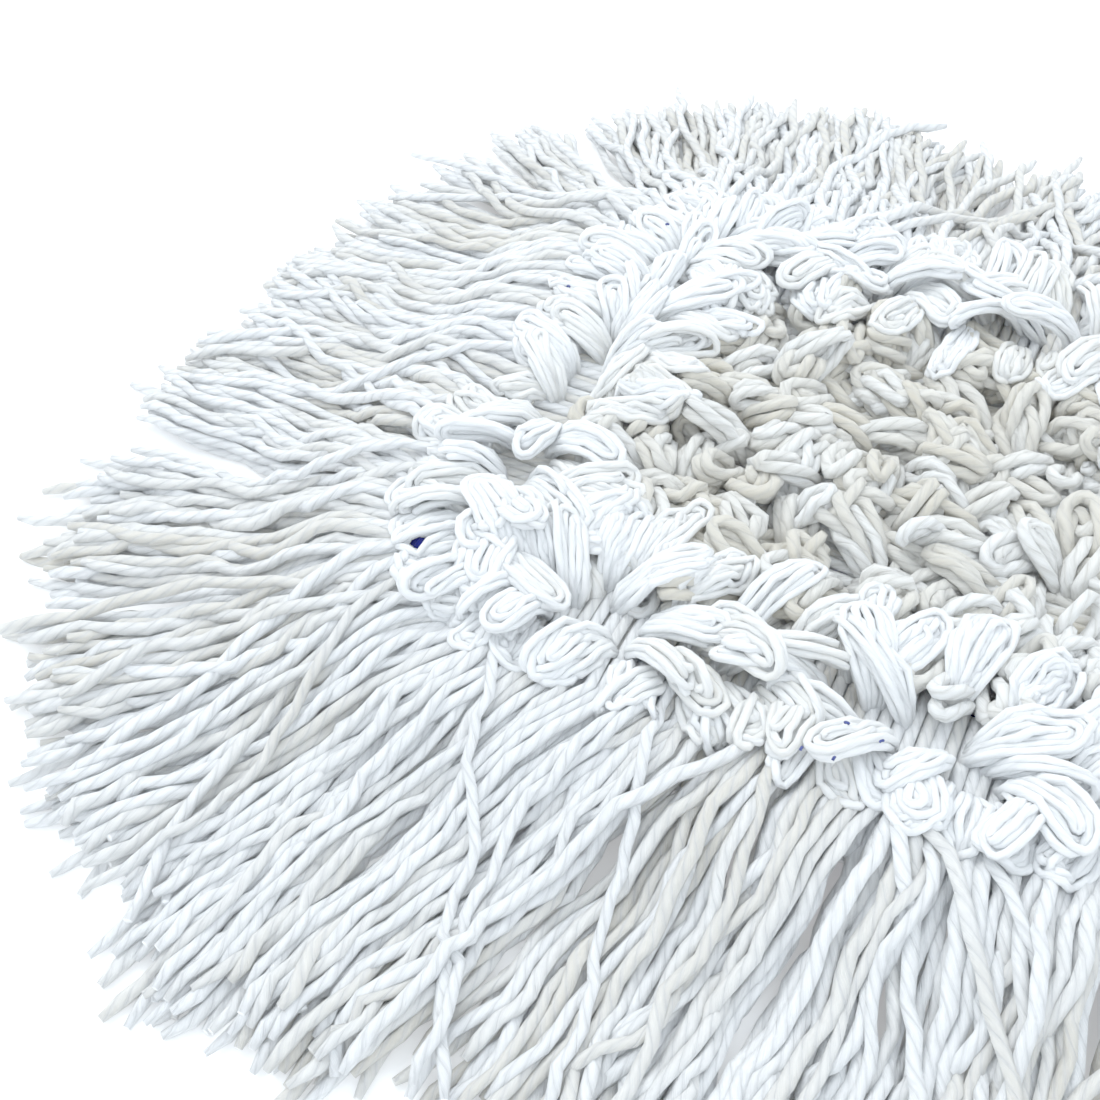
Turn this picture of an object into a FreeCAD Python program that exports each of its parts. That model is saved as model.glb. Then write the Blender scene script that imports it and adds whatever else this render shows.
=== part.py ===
import FreeCAD, Part
import math
import os

import Sketcher

# Flat string mop head: a refill that slips over a flat wire frame, lying on its back with the strings up.
#
# A canvas backing with rounded corners is bound with tape. Cut strings are sewn round its edge as a fringe, one
# closed row of long loops stands just inside them, and straight rows of shorter loops fill the middle. Two
# canvas pockets under the backing, one at each end, take the two ends of the frame.
#
# Frame: the origin lies on the surface under the mop, below the middle of the backing. +X runs along the mop,
# +Y across it towards the back, and +Z up towards the strings. Every length is in millimetres.

dimensions = {
    # Backing cloth, its binding tape and the sewing thread
    "backing_length": 450.0,
    "backing_width": 150.0,
    "corner_radius": 38.0,
    "backing_thick": 1.2,
    "binding_width": 10.0,
    "binding_thick": 0.6,
    "thread_width": 0.6,
    "thread_thick": 0.4,
    # Pockets under the two ends: a sewn flange inside the binding, walls and a floor below the backing
    "pocket_cloth": 0.9,
    "pocket_gap": 6.5,
    "pocket_reach": 140.0,
    "pocket_clearance": 1.0,
    "flange_width": 4.0,
    "hem_width": 12.0,
    "hem_thick": 0.8,
    "hem_clearance": 1.0,
    # Sewn heading of the fringe, and the loose strings beyond it as hinged sections
    "pile_inset": 1.0,
    "heading_thick": 4.0,
    "root_clearance": 0.5,
    "fringe_length": 64.0,
    "fringe_drop": 20.0,
    "fringe_thick": 6.5,
    "tip_thick": 4.0,
    "section_gap": 0.6,
    # Rows of loops: one closed row round the edge and straight rows in the middle
    "loop_band": 29.0,
    "loop_height": 18.0,
    "row_height": 14.0,
    "row_gap": 0.4,
    "row_end_gap": 2.0,
    "pile_round": 4.0,
    # Lines of stitches, in from the backing's edge
    "fringe_seam": 3.0,
    "binding_seam": 8.0,
    "loop_seam": 19.0,
}
row_count = 6
petals_per_corner = 3
petal_angle = 90.0 / petals_per_corner
# How far below their place on the surface the loose strings can hang, in degrees
droop_angle = 65.0
smallest_volume = 1.0
# How far a cut runs past the face that it opens
cut_past = 1.0

doc = FreeCAD.newDocument("StringMopHead")
sheet = doc.addObject("Spreadsheet::Sheet", "Sheet")
for line, (alias, millimetres) in enumerate(dimensions.items(), start=1):
    sheet.set(f"A{line}", alias)
    sheet.set(f"B{line}", str(millimetres))
    sheet.setAlias(f"B{line}", alias)
doc.recompute()


def cell(alias):
    """The expression that reads one driving dimension."""
    if alias not in dimensions:
        raise KeyError(alias)
    return f"Sheet.{alias}"


def value(expression):
    """What an expression comes to now, as a plain number."""
    return float(sheet.evalExpression(expression))


# Levels above the surface, from the pocket's cloth up to the strings
backing_low = f"({cell('pocket_cloth')} + {cell('pocket_gap')})"
backing_top = f"({backing_low} + {cell('backing_thick')})"
binding_low = f"({backing_low} - {cell('binding_thick')})"
binding_top = f"({backing_top} + {cell('binding_thick')})"
heading_top = f"({binding_top} + {cell('heading_thick')})"
hinge_level = f"({binding_top} + {cell('heading_thick')} / 2)"

# Distances in from the backing's edge
pile_inner = f"({cell('pile_inset')} + {cell('loop_band')})"
flange_inset = f"({cell('binding_width')} + {cell('pocket_clearance')})"
wall_inset = f"({flange_inset} + {cell('flange_width')})"
cavity_inset = f"({wall_inset} + {cell('pocket_cloth')})"
mouth_from_end = f"({flange_inset} + {cell('pocket_reach')})"
past_mouth = f"({mouth_from_end} + {cut_past})"

# The loose strings hinge on a line just outside the binding tape
root_radius = f"({cell('fringe_thick')} / 2)"
hinge_reach = f"({cell('binding_thick')} + {cell('root_clearance')} + {root_radius})"

sub_parts = []


def keep(item, label):
    """Lists a finished object as one of the mop's pieces, under the piece's own name."""
    item.Label = label
    sub_parts.append(item)
    return item


def add_sketch(body, name, level="0", role="XY_Plane"):
    """A sketch on one of the body's own origin planes, raised by the expression level."""
    plane = next(feature for feature in body.Origin.OriginFeatures if feature.Role == role)
    sketch = body.newObject("Sketcher::SketchObject", name)
    sketch.AttachmentSupport = [(plane, "")]
    sketch.MapMode = "FlatFace"
    sketch.setExpression("AttachmentOffset.Base.z", level)
    return sketch


def drive(sketch, kind, *geometry, by):
    """A dimension of a sketch, driven by the expression by."""
    index = sketch.addConstraint(Sketcher.Constraint(kind, *geometry, value(by)))
    sketch.setExpression(f"Constraints[{index}]", by)


def add_pad(body, name, sketch, length, side="One side"):
    """Raises a sketch by the expression length, or by half of it to each side."""
    pad = body.newObject("PartDesign::Pad", name)
    pad.Profile = sketch
    pad.SideType = side
    pad.setExpression("Length", length)
    return pad


def add_cut(body, name, sketch, length):
    """Cuts a sketch upwards out of the body, and makes sure that it took something away."""
    doc.recompute()
    volume_before = body.Shape.Volume
    cut = body.newObject("PartDesign::Pocket", name)
    cut.Profile = sketch
    cut.Reversed = True
    cut.setExpression("Length", length)
    doc.recompute()
    if volume_before - body.Shape.Volume < smallest_volume:
        raise ValueError(f"{name} cuts nothing")
    return cut


def add_outline(sketch, inset):
    """The backing's outline moved in by the expression inset: four tangent lines and arcs about the origin."""
    radius = value(f"{cell('corner_radius')} - {inset}")
    centre_x = value(f"{cell('backing_length')} / 2 - {cell('corner_radius')}")
    centre_y = value(f"{cell('backing_width')} / 2 - {cell('corner_radius')}")
    centres = [(centre_x, centre_y), (-centre_x, centre_y), (-centre_x, -centre_y), (centre_x, -centre_y)]
    up = FreeCAD.Vector(0, 0, 1)
    arcs = []
    for quarter, (x, y) in enumerate(centres):
        circle = Part.Circle(FreeCAD.Vector(x, y, 0), up, radius)
        start = quarter * math.pi / 2
        arcs.append(sketch.addGeometry(Part.ArcOfCircle(circle, start, start + math.pi / 2)))
    lines = []
    for arc, next_arc in zip(arcs, arcs[1:] + arcs[:1]):
        ends = sketch.Geometry[arc].EndPoint, sketch.Geometry[next_arc].StartPoint
        lines.append(sketch.addGeometry(Part.LineSegment(*ends)))
    for arc, line, next_arc in zip(arcs, lines, arcs[1:] + arcs[:1]):
        sketch.addConstraint(Sketcher.Constraint("Tangent", arc, 2, line, 1))
        sketch.addConstraint(Sketcher.Constraint("Tangent", line, 2, next_arc, 1))
    for arc in arcs[1:]:
        sketch.addConstraint(Sketcher.Constraint("Equal", arcs[0], arc))
    for line in lines[0::2]:
        sketch.addConstraint(Sketcher.Constraint("Horizontal", line))
    for line in lines[1::2]:
        sketch.addConstraint(Sketcher.Constraint("Vertical", line))
    sketch.addConstraint(Sketcher.Constraint("Symmetric", arcs[0], 3, arcs[2], 3, -1, 1))
    drive(sketch, "Radius", arcs[0], by=f"{cell('corner_radius')} - {inset}")
    drive(
        sketch, "DistanceX", -1, 1, arcs[0], 3,
        by=f"{cell('backing_length')} / 2 - {cell('corner_radius')}",
    )
    drive(
        sketch, "DistanceY", -1, 1, arcs[0], 3,
        by=f"{cell('backing_width')} / 2 - {cell('corner_radius')}",
    )


def add_end_outline(sketch, inset, mouth):
    """The left end of the backing's outline, moved in by inset and closed by a straight line mouth from the end."""
    radius = value(f"{cell('corner_radius')} - {inset}")
    centre_x = value(f"{cell('corner_radius')} - {cell('backing_length')} / 2")
    centre_y = value(f"{cell('backing_width')} / 2 - {cell('corner_radius')}")
    mouth_x = value(f"{mouth} - {cell('backing_length')} / 2")
    up = FreeCAD.Vector(0, 0, 1)
    back_circle = Part.Circle(FreeCAD.Vector(centre_x, centre_y, 0), up, radius)
    front_circle = Part.Circle(FreeCAD.Vector(centre_x, -centre_y, 0), up, radius)
    back_arc = sketch.addGeometry(Part.ArcOfCircle(back_circle, math.pi / 2, math.pi))
    front_arc = sketch.addGeometry(Part.ArcOfCircle(front_circle, math.pi, 3 * math.pi / 2))
    corners = [
        FreeCAD.Vector(mouth_x, centre_y + radius, 0),
        FreeCAD.Vector(centre_x, centre_y + radius, 0),
        FreeCAD.Vector(centre_x - radius, centre_y, 0),
        FreeCAD.Vector(centre_x - radius, -centre_y, 0),
        FreeCAD.Vector(centre_x, -centre_y - radius, 0),
        FreeCAD.Vector(mouth_x, -centre_y - radius, 0),
    ]
    back_line = sketch.addGeometry(Part.LineSegment(corners[0], corners[1]))
    end_line = sketch.addGeometry(Part.LineSegment(corners[2], corners[3]))
    front_line = sketch.addGeometry(Part.LineSegment(corners[4], corners[5]))
    mouth_line = sketch.addGeometry(Part.LineSegment(corners[5], corners[0]))
    sketch.addConstraint(Sketcher.Constraint("Tangent", back_line, 2, back_arc, 1))
    sketch.addConstraint(Sketcher.Constraint("Tangent", back_arc, 2, end_line, 1))
    sketch.addConstraint(Sketcher.Constraint("Tangent", end_line, 2, front_arc, 1))
    sketch.addConstraint(Sketcher.Constraint("Tangent", front_arc, 2, front_line, 1))
    sketch.addConstraint(Sketcher.Constraint("Coincident", front_line, 2, mouth_line, 1))
    sketch.addConstraint(Sketcher.Constraint("Coincident", mouth_line, 2, back_line, 1))
    sketch.addConstraint(Sketcher.Constraint("Equal", back_arc, front_arc))
    sketch.addConstraint(Sketcher.Constraint("Vertical", mouth_line))
    sketch.addConstraint(Sketcher.Constraint("Horizontal", back_line))
    sketch.addConstraint(Sketcher.Constraint("Horizontal", front_line))
    sketch.addConstraint(Sketcher.Constraint("Symmetric", back_arc, 3, front_arc, 3, -1))
    drive(sketch, "Radius", back_arc, by=f"{cell('corner_radius')} - {inset}")
    drive(
        sketch, "DistanceX", back_arc, 3, -1, 1,
        by=f"{cell('backing_length')} / 2 - {cell('corner_radius')}",
    )
    drive(
        sketch, "DistanceY", -1, 1, back_arc, 3,
        by=f"{cell('backing_width')} / 2 - {cell('corner_radius')}",
    )
    drive(sketch, "DistanceX", mouth_line, 1, -1, 1, by=f"{cell('backing_length')} / 2 - {mouth}")


def add_stadium(sketch, centre_reach, half_width):
    """A long outline with round ends: straight over centre_reach each side of the origin, half_width wide."""
    reach = value(centre_reach)
    radius = value(half_width)
    up = FreeCAD.Vector(0, 0, 1)
    right_circle = Part.Circle(FreeCAD.Vector(reach, 0, 0), up, radius)
    left_circle = Part.Circle(FreeCAD.Vector(-reach, 0, 0), up, radius)
    right_arc = sketch.addGeometry(Part.ArcOfCircle(right_circle, -math.pi / 2, math.pi / 2))
    left_arc = sketch.addGeometry(Part.ArcOfCircle(left_circle, math.pi / 2, 3 * math.pi / 2))
    back_ends = FreeCAD.Vector(reach, radius, 0), FreeCAD.Vector(-reach, radius, 0)
    front_ends = FreeCAD.Vector(-reach, -radius, 0), FreeCAD.Vector(reach, -radius, 0)
    back_line = sketch.addGeometry(Part.LineSegment(*back_ends))
    front_line = sketch.addGeometry(Part.LineSegment(*front_ends))
    sketch.addConstraint(Sketcher.Constraint("Tangent", right_arc, 2, back_line, 1))
    sketch.addConstraint(Sketcher.Constraint("Tangent", back_line, 2, left_arc, 1))
    sketch.addConstraint(Sketcher.Constraint("Tangent", left_arc, 2, front_line, 1))
    sketch.addConstraint(Sketcher.Constraint("Tangent", front_line, 2, right_arc, 1))
    sketch.addConstraint(Sketcher.Constraint("Equal", left_arc, right_arc))
    sketch.addConstraint(Sketcher.Constraint("Symmetric", left_arc, 3, right_arc, 3, -1, 1))
    sketch.addConstraint(Sketcher.Constraint("PointOnObject", right_arc, 3, -1))
    drive(sketch, "Radius", right_arc, by=half_width)
    drive(sketch, "DistanceX", -1, 1, right_arc, 3, by=centre_reach)


def round_top(body, name, pad):
    """Rounds the outer top edges of a row of pile."""
    doc.recompute()
    faces = pad.Shape.Faces
    highest = max(range(len(faces)), key=lambda index: faces[index].CenterOfMass.z)
    fillet = body.newObject("PartDesign::Fillet", name)
    fillet.Base = (pad, [f"Face{highest + 1}"])
    fillet.setExpression("Radius", cell("pile_round"))


def add_ring(body, name, outer, inner, low, height):
    """A closed band that follows the backing's outline, from the outer inset to the inner one."""
    sketch = add_sketch(body, f"{name}Sketch", low)
    add_outline(sketch, outer)
    add_outline(sketch, inner)
    return add_pad(body, name, sketch, height)


def make_backing():
    """The canvas that everything is sewn to."""
    body = doc.addObject("PartDesign::Body", "BackingCloth")
    sketch = add_sketch(body, "BackingSketch", backing_low)
    add_outline(sketch, "0")
    add_pad(body, "BackingPad", sketch, cell("backing_thick"))
    return keep(body, "backing_cloth")


def make_binding():
    """Tape folded over the backing's edge: one strip above, one below and the fold outside."""
    body = doc.addObject("PartDesign::Body", "EdgeBinding")
    fold = f"(-{cell('binding_thick')})"
    height = f"{cell('backing_thick')} + 2 * {cell('binding_thick')}"
    add_ring(body, "BindingTape", fold, cell("binding_width"), binding_low, height)
    groove = add_sketch(body, "BindingGrooveSketch", backing_low)
    add_outline(groove, "0")
    add_cut(body, "BindingGroove", groove, cell("backing_thick"))
    return keep(body, "edge_binding")


def make_heading():
    """The inner ends of the fringe strings, sewn down flat over the binding tape and the backing inside it."""
    body = doc.addObject("PartDesign::Body", "FringeHeading")
    add_ring(body, "HeadingPad", cell("pile_inset"), pile_inner, binding_top, cell("heading_thick"))
    add_ring(body, "HeadingFoot", cell("binding_width"), pile_inner, backing_top, cell("binding_thick"))
    return keep(body, "fringe_heading")


def make_outer_loops():
    """The closed row of long loops, standing on the heading."""
    body = doc.addObject("PartDesign::Body", "OuterLoopRow")
    pad = add_ring(body, "OuterLoops", cell("pile_inset"), pile_inner, heading_top, cell("loop_height"))
    round_top(body, "OuterLoopsRound", pad)
    return keep(body, "outer_loop_row")


# The straight rows share the space inside the closed row equally
row_pitch = f"(({cell('backing_width')} - 2 * {pile_inner}) / {row_count})"
row_half_width = f"(({row_pitch} - {cell('row_gap')}) / 2)"
# A row stops short of the closed row, or where the closed row's inner corner begins if that comes first
row_end = f"max({cell('corner_radius')}; {pile_inner} + {cell('row_end_gap')} + {row_half_width})"
row_reach = f"({cell('backing_length')} / 2 - {row_end})"


def row_offset(number):
    """The middle of straight row number, counted from 1 at the front, across the mop."""
    return f"({number - (row_count + 1) / 2}) * {row_pitch}"


def make_inner_row(number):
    """One straight row of shorter loops, sewn to the backing along its middle."""
    body = doc.addObject("PartDesign::Body", f"InnerLoopRow{number}")
    sketch = add_sketch(body, f"InnerRowSketch{number}", backing_top)
    add_stadium(sketch, row_reach, row_half_width)
    pad = add_pad(body, f"InnerRowPad{number}", sketch, cell("row_height"))
    round_top(body, f"InnerRowRound{number}", pad)
    body.setExpression("Placement.Base.y", row_offset(number))
    return keep(body, f"inner_loop_row_{number}")


def make_row_thread(number):
    """The line of thread under the backing that holds one straight row."""
    thread = doc.addObject("Part::Box", f"InnerRowThread{number}")
    thread.setExpression("Length", f"2 * {row_reach}")
    thread.setExpression("Width", cell("thread_width"))
    thread.setExpression("Height", cell("thread_thick"))
    thread.setExpression("Placement.Base.x", f"-{row_reach}")
    thread.setExpression("Placement.Base.y", f"{row_offset(number)} - {cell('thread_width')} / 2")
    thread.setExpression("Placement.Base.z", f"{backing_low} - {cell('thread_thick')}")
    return keep(thread, f"inner_row_stitching_{number}")


def make_seam(name, label, seam, cloth_low):
    """A closed line of thread round the mop, against the underside of the cloth at cloth_low."""
    body = doc.addObject("PartDesign::Body", name)
    outer = f"({cell(seam)} - {cell('thread_width')} / 2)"
    inner = f"({cell(seam)} + {cell('thread_width')} / 2)"
    low = f"{cloth_low} - {cell('thread_thick')}"
    add_ring(body, f"{name}Thread", outer, inner, low, cell("thread_thick"))
    return keep(body, label)


def turn_round(body, half_turns):
    """Puts a piece made for the left end at the right one after one half turn."""
    body.Placement = FreeCAD.Placement(FreeCAD.Vector(), FreeCAD.Rotation(180.0 * half_turns, 0, 0))


def make_pocket(side, half_turns):
    """A canvas pocket that opens towards the middle: a sewn flange on three sides, walls and a raised floor."""
    body = doc.addObject("PartDesign::Body", f"{side}Pocket")
    flange = add_sketch(body, f"{side}FlangeSketch", f"{backing_low} - {cell('pocket_cloth')}")
    add_end_outline(flange, flange_inset, mouth_from_end)
    add_pad(body, f"{side}Flange", flange, cell("pocket_cloth"))
    walls = add_sketch(body, f"{side}WallSketch")
    add_end_outline(walls, wall_inset, mouth_from_end)
    add_pad(body, f"{side}Walls", walls, backing_low)
    cavity = add_sketch(body, f"{side}CavitySketch", cell("pocket_cloth"))
    add_end_outline(cavity, cavity_inset, past_mouth)
    add_cut(body, f"{side}Cavity", cavity, cell("pocket_gap"))
    turn_round(body, half_turns)
    return keep(body, f"{side.lower()}_pocket")


def make_hem(side, half_turns):
    """The turned-in hem along a pocket's mouth, lying on the pocket's floor."""
    body = doc.addObject("PartDesign::Body", f"{side}PocketHem")
    sketch = add_sketch(body, f"{side}HemSketch", cell("pocket_cloth"))
    mouth = value(f"{mouth_from_end} - {cell('backing_length')} / 2")
    width = value(cell("hem_width"))
    half = value(f"{cell('backing_width')} / 2 - {cavity_inset} - {cell('hem_clearance')}")
    corners = [
        FreeCAD.Vector(mouth - width, -half, 0),
        FreeCAD.Vector(mouth, -half, 0),
        FreeCAD.Vector(mouth, half, 0),
        FreeCAD.Vector(mouth - width, half, 0),
    ]
    lines = [
        sketch.addGeometry(Part.LineSegment(start, end))
        for start, end in zip(corners, corners[1:] + corners[:1])
    ]
    for line, next_line in zip(lines, lines[1:] + lines[:1]):
        sketch.addConstraint(Sketcher.Constraint("Coincident", line, 2, next_line, 1))
    for line in lines[0::2]:
        sketch.addConstraint(Sketcher.Constraint("Horizontal", line))
    sketch.addConstraint(Sketcher.Constraint("Symmetric", lines[1], 1, lines[1], 2, -1))
    sketch.addConstraint(Sketcher.Constraint("Vertical", lines[3]))
    drive(sketch, "DistanceX", lines[1], 1, -1, 1, by=f"{cell('backing_length')} / 2 - {mouth_from_end}")
    drive(sketch, "DistanceX", lines[0], 1, lines[0], 2, by=cell("hem_width"))
    drive(
        sketch, "DistanceY", -1, 1, lines[1], 2,
        by=f"{cell('backing_width')} / 2 - {cavity_inset} - {cell('hem_clearance')}",
    )
    add_pad(body, f"{side}HemPad", sketch, cell("hem_thick"))
    turn_round(body, half_turns)
    return keep(body, f"{side.lower()}_pocket_hem")


def make_pocket_thread(side, half_turns):
    """The line of thread that sews a pocket's flange to the backing, along its three closed sides."""
    body = doc.addObject("PartDesign::Body", f"{side}PocketThread")
    middle = f"{flange_inset} + {cell('flange_width')} / 2"
    outer = f"({middle} - {cell('thread_width')} / 2)"
    inner = f"({middle} + {cell('thread_width')} / 2)"
    flange_low = f"{backing_low} - {cell('pocket_cloth')}"
    low = f"{flange_low} - {cell('thread_thick')}"
    line = add_sketch(body, f"{side}ThreadSketch", low)
    add_end_outline(line, outer, mouth_from_end)
    add_pad(body, f"{side}ThreadPad", line, cell("thread_thick"))
    inside = add_sketch(body, f"{side}ThreadInsideSketch", low)
    add_end_outline(inside, inner, past_mouth)
    add_cut(body, f"{side}ThreadInside", inside, cell("thread_thick"))
    turn_round(body, half_turns)
    return keep(body, f"{side.lower()}_pocket_stitching")


def add_string_profile(sketch):
    """The strings from the side: x outwards from the hinge line, y up. A half-round root on the hinge line, a
    slope down to the surface, and a flat stretch that thins to the tips."""
    centre = FreeCAD.Vector(0, value(hinge_level), 0)
    radius = value(root_radius)
    reach = value(cell("fringe_length"))
    bend = FreeCAD.Vector(value(cell("fringe_drop")), value(cell("fringe_thick")), 0)
    to_bend = bend - centre
    upright = math.atan2(to_bend.y, to_bend.x) + math.acos(radius / to_bend.Length)
    across = FreeCAD.Vector(math.cos(upright), math.sin(upright), 0)
    root_top = centre + across * radius
    root_low = centre - across * radius
    # The lower side runs parallel to the upper one until it meets the surface
    touch = FreeCAD.Vector(root_low.x + root_low.y * across.y / across.x, 0, 0)
    tip_low = FreeCAD.Vector(reach, 0, 0)
    tip_top = FreeCAD.Vector(reach, value(cell("tip_thick")), 0)
    circle = Part.Circle(centre, FreeCAD.Vector(0, 0, 1), radius)
    root = sketch.addGeometry(Part.ArcOfCircle(circle, upright, upright + math.pi))
    slope = sketch.addGeometry(Part.LineSegment(root_top, bend))
    flat = sketch.addGeometry(Part.LineSegment(bend, tip_top))
    tip = sketch.addGeometry(Part.LineSegment(tip_top, tip_low))
    ground = sketch.addGeometry(Part.LineSegment(tip_low, touch))
    under = sketch.addGeometry(Part.LineSegment(touch, root_low))
    sketch.addConstraint(Sketcher.Constraint("Tangent", root, 1, slope, 1))
    sketch.addConstraint(Sketcher.Constraint("Tangent", root, 2, under, 2))
    sketch.addConstraint(Sketcher.Constraint("Coincident", slope, 2, flat, 1))
    sketch.addConstraint(Sketcher.Constraint("Coincident", flat, 2, tip, 1))
    sketch.addConstraint(Sketcher.Constraint("Coincident", tip, 2, ground, 1))
    sketch.addConstraint(Sketcher.Constraint("Coincident", ground, 2, under, 1))
    sketch.addConstraint(Sketcher.Constraint("Vertical", tip))
    sketch.addConstraint(Sketcher.Constraint("Horizontal", ground))
    sketch.addConstraint(Sketcher.Constraint("Parallel", slope, under))
    sketch.addConstraint(Sketcher.Constraint("PointOnObject", tip, 2, -1))
    sketch.addConstraint(Sketcher.Constraint("PointOnObject", root, 3, -2))
    drive(sketch, "Radius", root, by=root_radius)
    drive(sketch, "DistanceY", -1, 1, root, 3, by=hinge_level)
    drive(sketch, "DistanceX", -1, 1, slope, 2, by=cell("fringe_drop"))
    drive(sketch, "DistanceY", -1, 1, slope, 2, by=cell("fringe_thick"))
    drive(sketch, "DistanceX", -1, 1, tip, 2, by=cell("fringe_length"))
    drive(sketch, "DistanceY", tip, 2, tip, 1, by=cell("tip_thick"))


# Corner sections fan out. Each keeps to its own share of the corner while it hangs, at its root and at its tips.
half_share = f"tan({petal_angle / 2} deg)"
corner_reach = f"({cell('corner_radius')} + {hinge_reach})"
hanging_reach = f"({cell('fringe_length')} * cos({droop_angle} deg) - {hinge_level} * sin({droop_angle} deg))"
petal_root = f"(2 * ({corner_reach} - {root_radius}) * {half_share} - {cell('section_gap')})"
petal_tip = f"(2 * ({corner_reach} + {hanging_reach}) * {half_share} - {cell('section_gap')})"


def add_petal_side(sketch, side):
    """What a corner section leaves out in plan, on its side +1 or -1: it is as wide as its root down the slope,
    and from there widens to its tips."""
    root_x = value(f"-{root_radius}")
    bend_x = value(cell("fringe_drop"))
    tip_x = value(cell("fringe_length"))
    root_y = side * value(f"{petal_root} / 2")
    tip_y = side * value(f"{petal_tip} / 2")
    corners = [
        FreeCAD.Vector(root_x, root_y, 0),
        FreeCAD.Vector(bend_x, root_y, 0),
        FreeCAD.Vector(tip_x, tip_y, 0),
        FreeCAD.Vector(root_x, tip_y, 0),
    ]
    sides = [
        sketch.addGeometry(Part.LineSegment(start, end))
        for start, end in zip(corners, corners[1:] + corners[:1])
    ]
    for line, next_line in zip(sides, sides[1:] + sides[:1]):
        sketch.addConstraint(Sketcher.Constraint("Coincident", line, 2, next_line, 1))
    slope, flare, level, back = sides
    sketch.addConstraint(Sketcher.Constraint("Horizontal", slope))
    sketch.addConstraint(Sketcher.Constraint("Horizontal", level))
    sketch.addConstraint(Sketcher.Constraint("Vertical", back))
    drive(sketch, "DistanceX", slope, 1, -1, 1, by=root_radius)
    drive(sketch, "DistanceX", -1, 1, flare, 1, by=cell("fringe_drop"))
    drive(sketch, "DistanceX", -1, 1, flare, 2, by=cell("fringe_length"))
    for line, end, half_width in ((slope, 1, petal_root), (flare, 2, petal_tip)):
        points = (-1, 1, line, end) if side > 0 else (line, end, -1, 1)
        drive(sketch, "DistanceY", *points, by=f"{half_width} / 2")


def make_section(name, label, width, angle, place_x, place_y, corner=False):
    """A section of loose strings that hinges at its root, facing angle degrees round from +X."""
    body = doc.addObject("PartDesign::Body", name)
    profile = add_sketch(body, f"{name}Profile", role="XZ_Plane")
    add_string_profile(profile)
    add_pad(body, f"{name}Strings", profile, width, side="Symmetric")
    if corner:
        sides = add_sketch(body, f"{name}Sides")
        add_petal_side(sides, 1)
        add_petal_side(sides, -1)
        add_cut(body, f"{name}Taper", sides, f"{hinge_level} + {root_radius} + {cut_past}")
    body.Placement = FreeCAD.Placement(FreeCAD.Vector(), FreeCAD.Rotation(angle, 0, 0))
    body.setExpression("Placement.Base.x", place_x)
    body.setExpression("Placement.Base.y", place_y)
    return keep(body, label)


def make_straight_sections():
    """The four sections along the straight sides."""
    long_run = f"({cell('backing_length')} - 2 * {cell('corner_radius')} - {cell('section_gap')})"
    short_run = f"({cell('backing_width')} - 2 * {cell('corner_radius')} - {cell('section_gap')})"
    out_x = f"({cell('backing_length')} / 2 + {hinge_reach})"
    out_y = f"({cell('backing_width')} / 2 + {hinge_reach})"
    make_section("FringeRight", "fringe_right", short_run, 0, out_x, "0")
    make_section("FringeBack", "fringe_back", long_run, 90, "0", out_y)
    make_section("FringeLeft", "fringe_left", short_run, 180, f"-{out_x}", "0")
    make_section("FringeFront", "fringe_front", long_run, 270, "0", f"-{out_y}")


def make_corner_sections():
    """The sections that fan out round each corner, numbered anticlockwise seen from above."""
    corners = [("BackRight", 1, 1), ("BackLeft", -1, 1), ("FrontLeft", -1, -1), ("FrontRight", 1, -1)]
    labels = ["back_right", "back_left", "front_left", "front_right"]
    centre_x = f"({cell('backing_length')} / 2 - {cell('corner_radius')})"
    centre_y = f"({cell('backing_width')} / 2 - {cell('corner_radius')})"
    for quarter, ((corner, side_x, side_y), label) in enumerate(zip(corners, labels)):
        for number in range(1, petals_per_corner + 1):
            angle = 90.0 * quarter + petal_angle * (number - 0.5)
            place_x = f"{side_x} * {centre_x} + {corner_reach} * cos({angle} deg)"
            place_y = f"{side_y} * {centre_y} + {corner_reach} * sin({angle} deg)"
            name = f"Fringe{corner}{number}"
            make_section(name, f"fringe_{label}_{number}", petal_tip, angle, place_x, place_y, corner=True)


make_backing()
make_binding()
make_heading()
make_outer_loops()
make_seam("FringeSeam", "fringe_stitching", "fringe_seam", binding_low)
make_seam("BindingSeam", "binding_stitching", "binding_seam", binding_low)
make_seam("LoopSeam", "outer_loop_stitching", "loop_seam", backing_low)
for row_number in range(1, row_count + 1):
    make_inner_row(row_number)
    make_row_thread(row_number)
for pocket_side, half_turn in (("Left", 0), ("Right", 1)):
    make_pocket(pocket_side, half_turn)
    make_hem(pocket_side, half_turn)
    make_pocket_thread(pocket_side, half_turn)
make_straight_sections()
make_corner_sections()
doc.recompute()

for item in doc.Objects:
    if "Invalid" in item.State or "Error" in item.State:
        raise ValueError(f"{item.Label} failed: {item.State}")
    if item.isDerivedFrom("Sketcher::SketchObject") and not item.FullyConstrained:
        raise ValueError(f"{item.Label} isn't fully constrained")
for item in sub_parts:
    if item.Shape.isNull() or not item.Shape.isValid() or item.Shape.Volume < smallest_volume:
        raise ValueError(f"{item.Label} has no sound solid")

os.makedirs("parts", exist_ok=True)
for item in sub_parts:
    item.Shape.exportStep(f"parts/{item.Label}.step")
whole = Part.makeCompound([item.Shape for item in sub_parts]).BoundBox
print(f"{len(sub_parts)} sub-parts, {whole.XLength:.1f} x {whole.YLength:.1f} x {whole.ZLength:.1f} mm")
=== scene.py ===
import math

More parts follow.
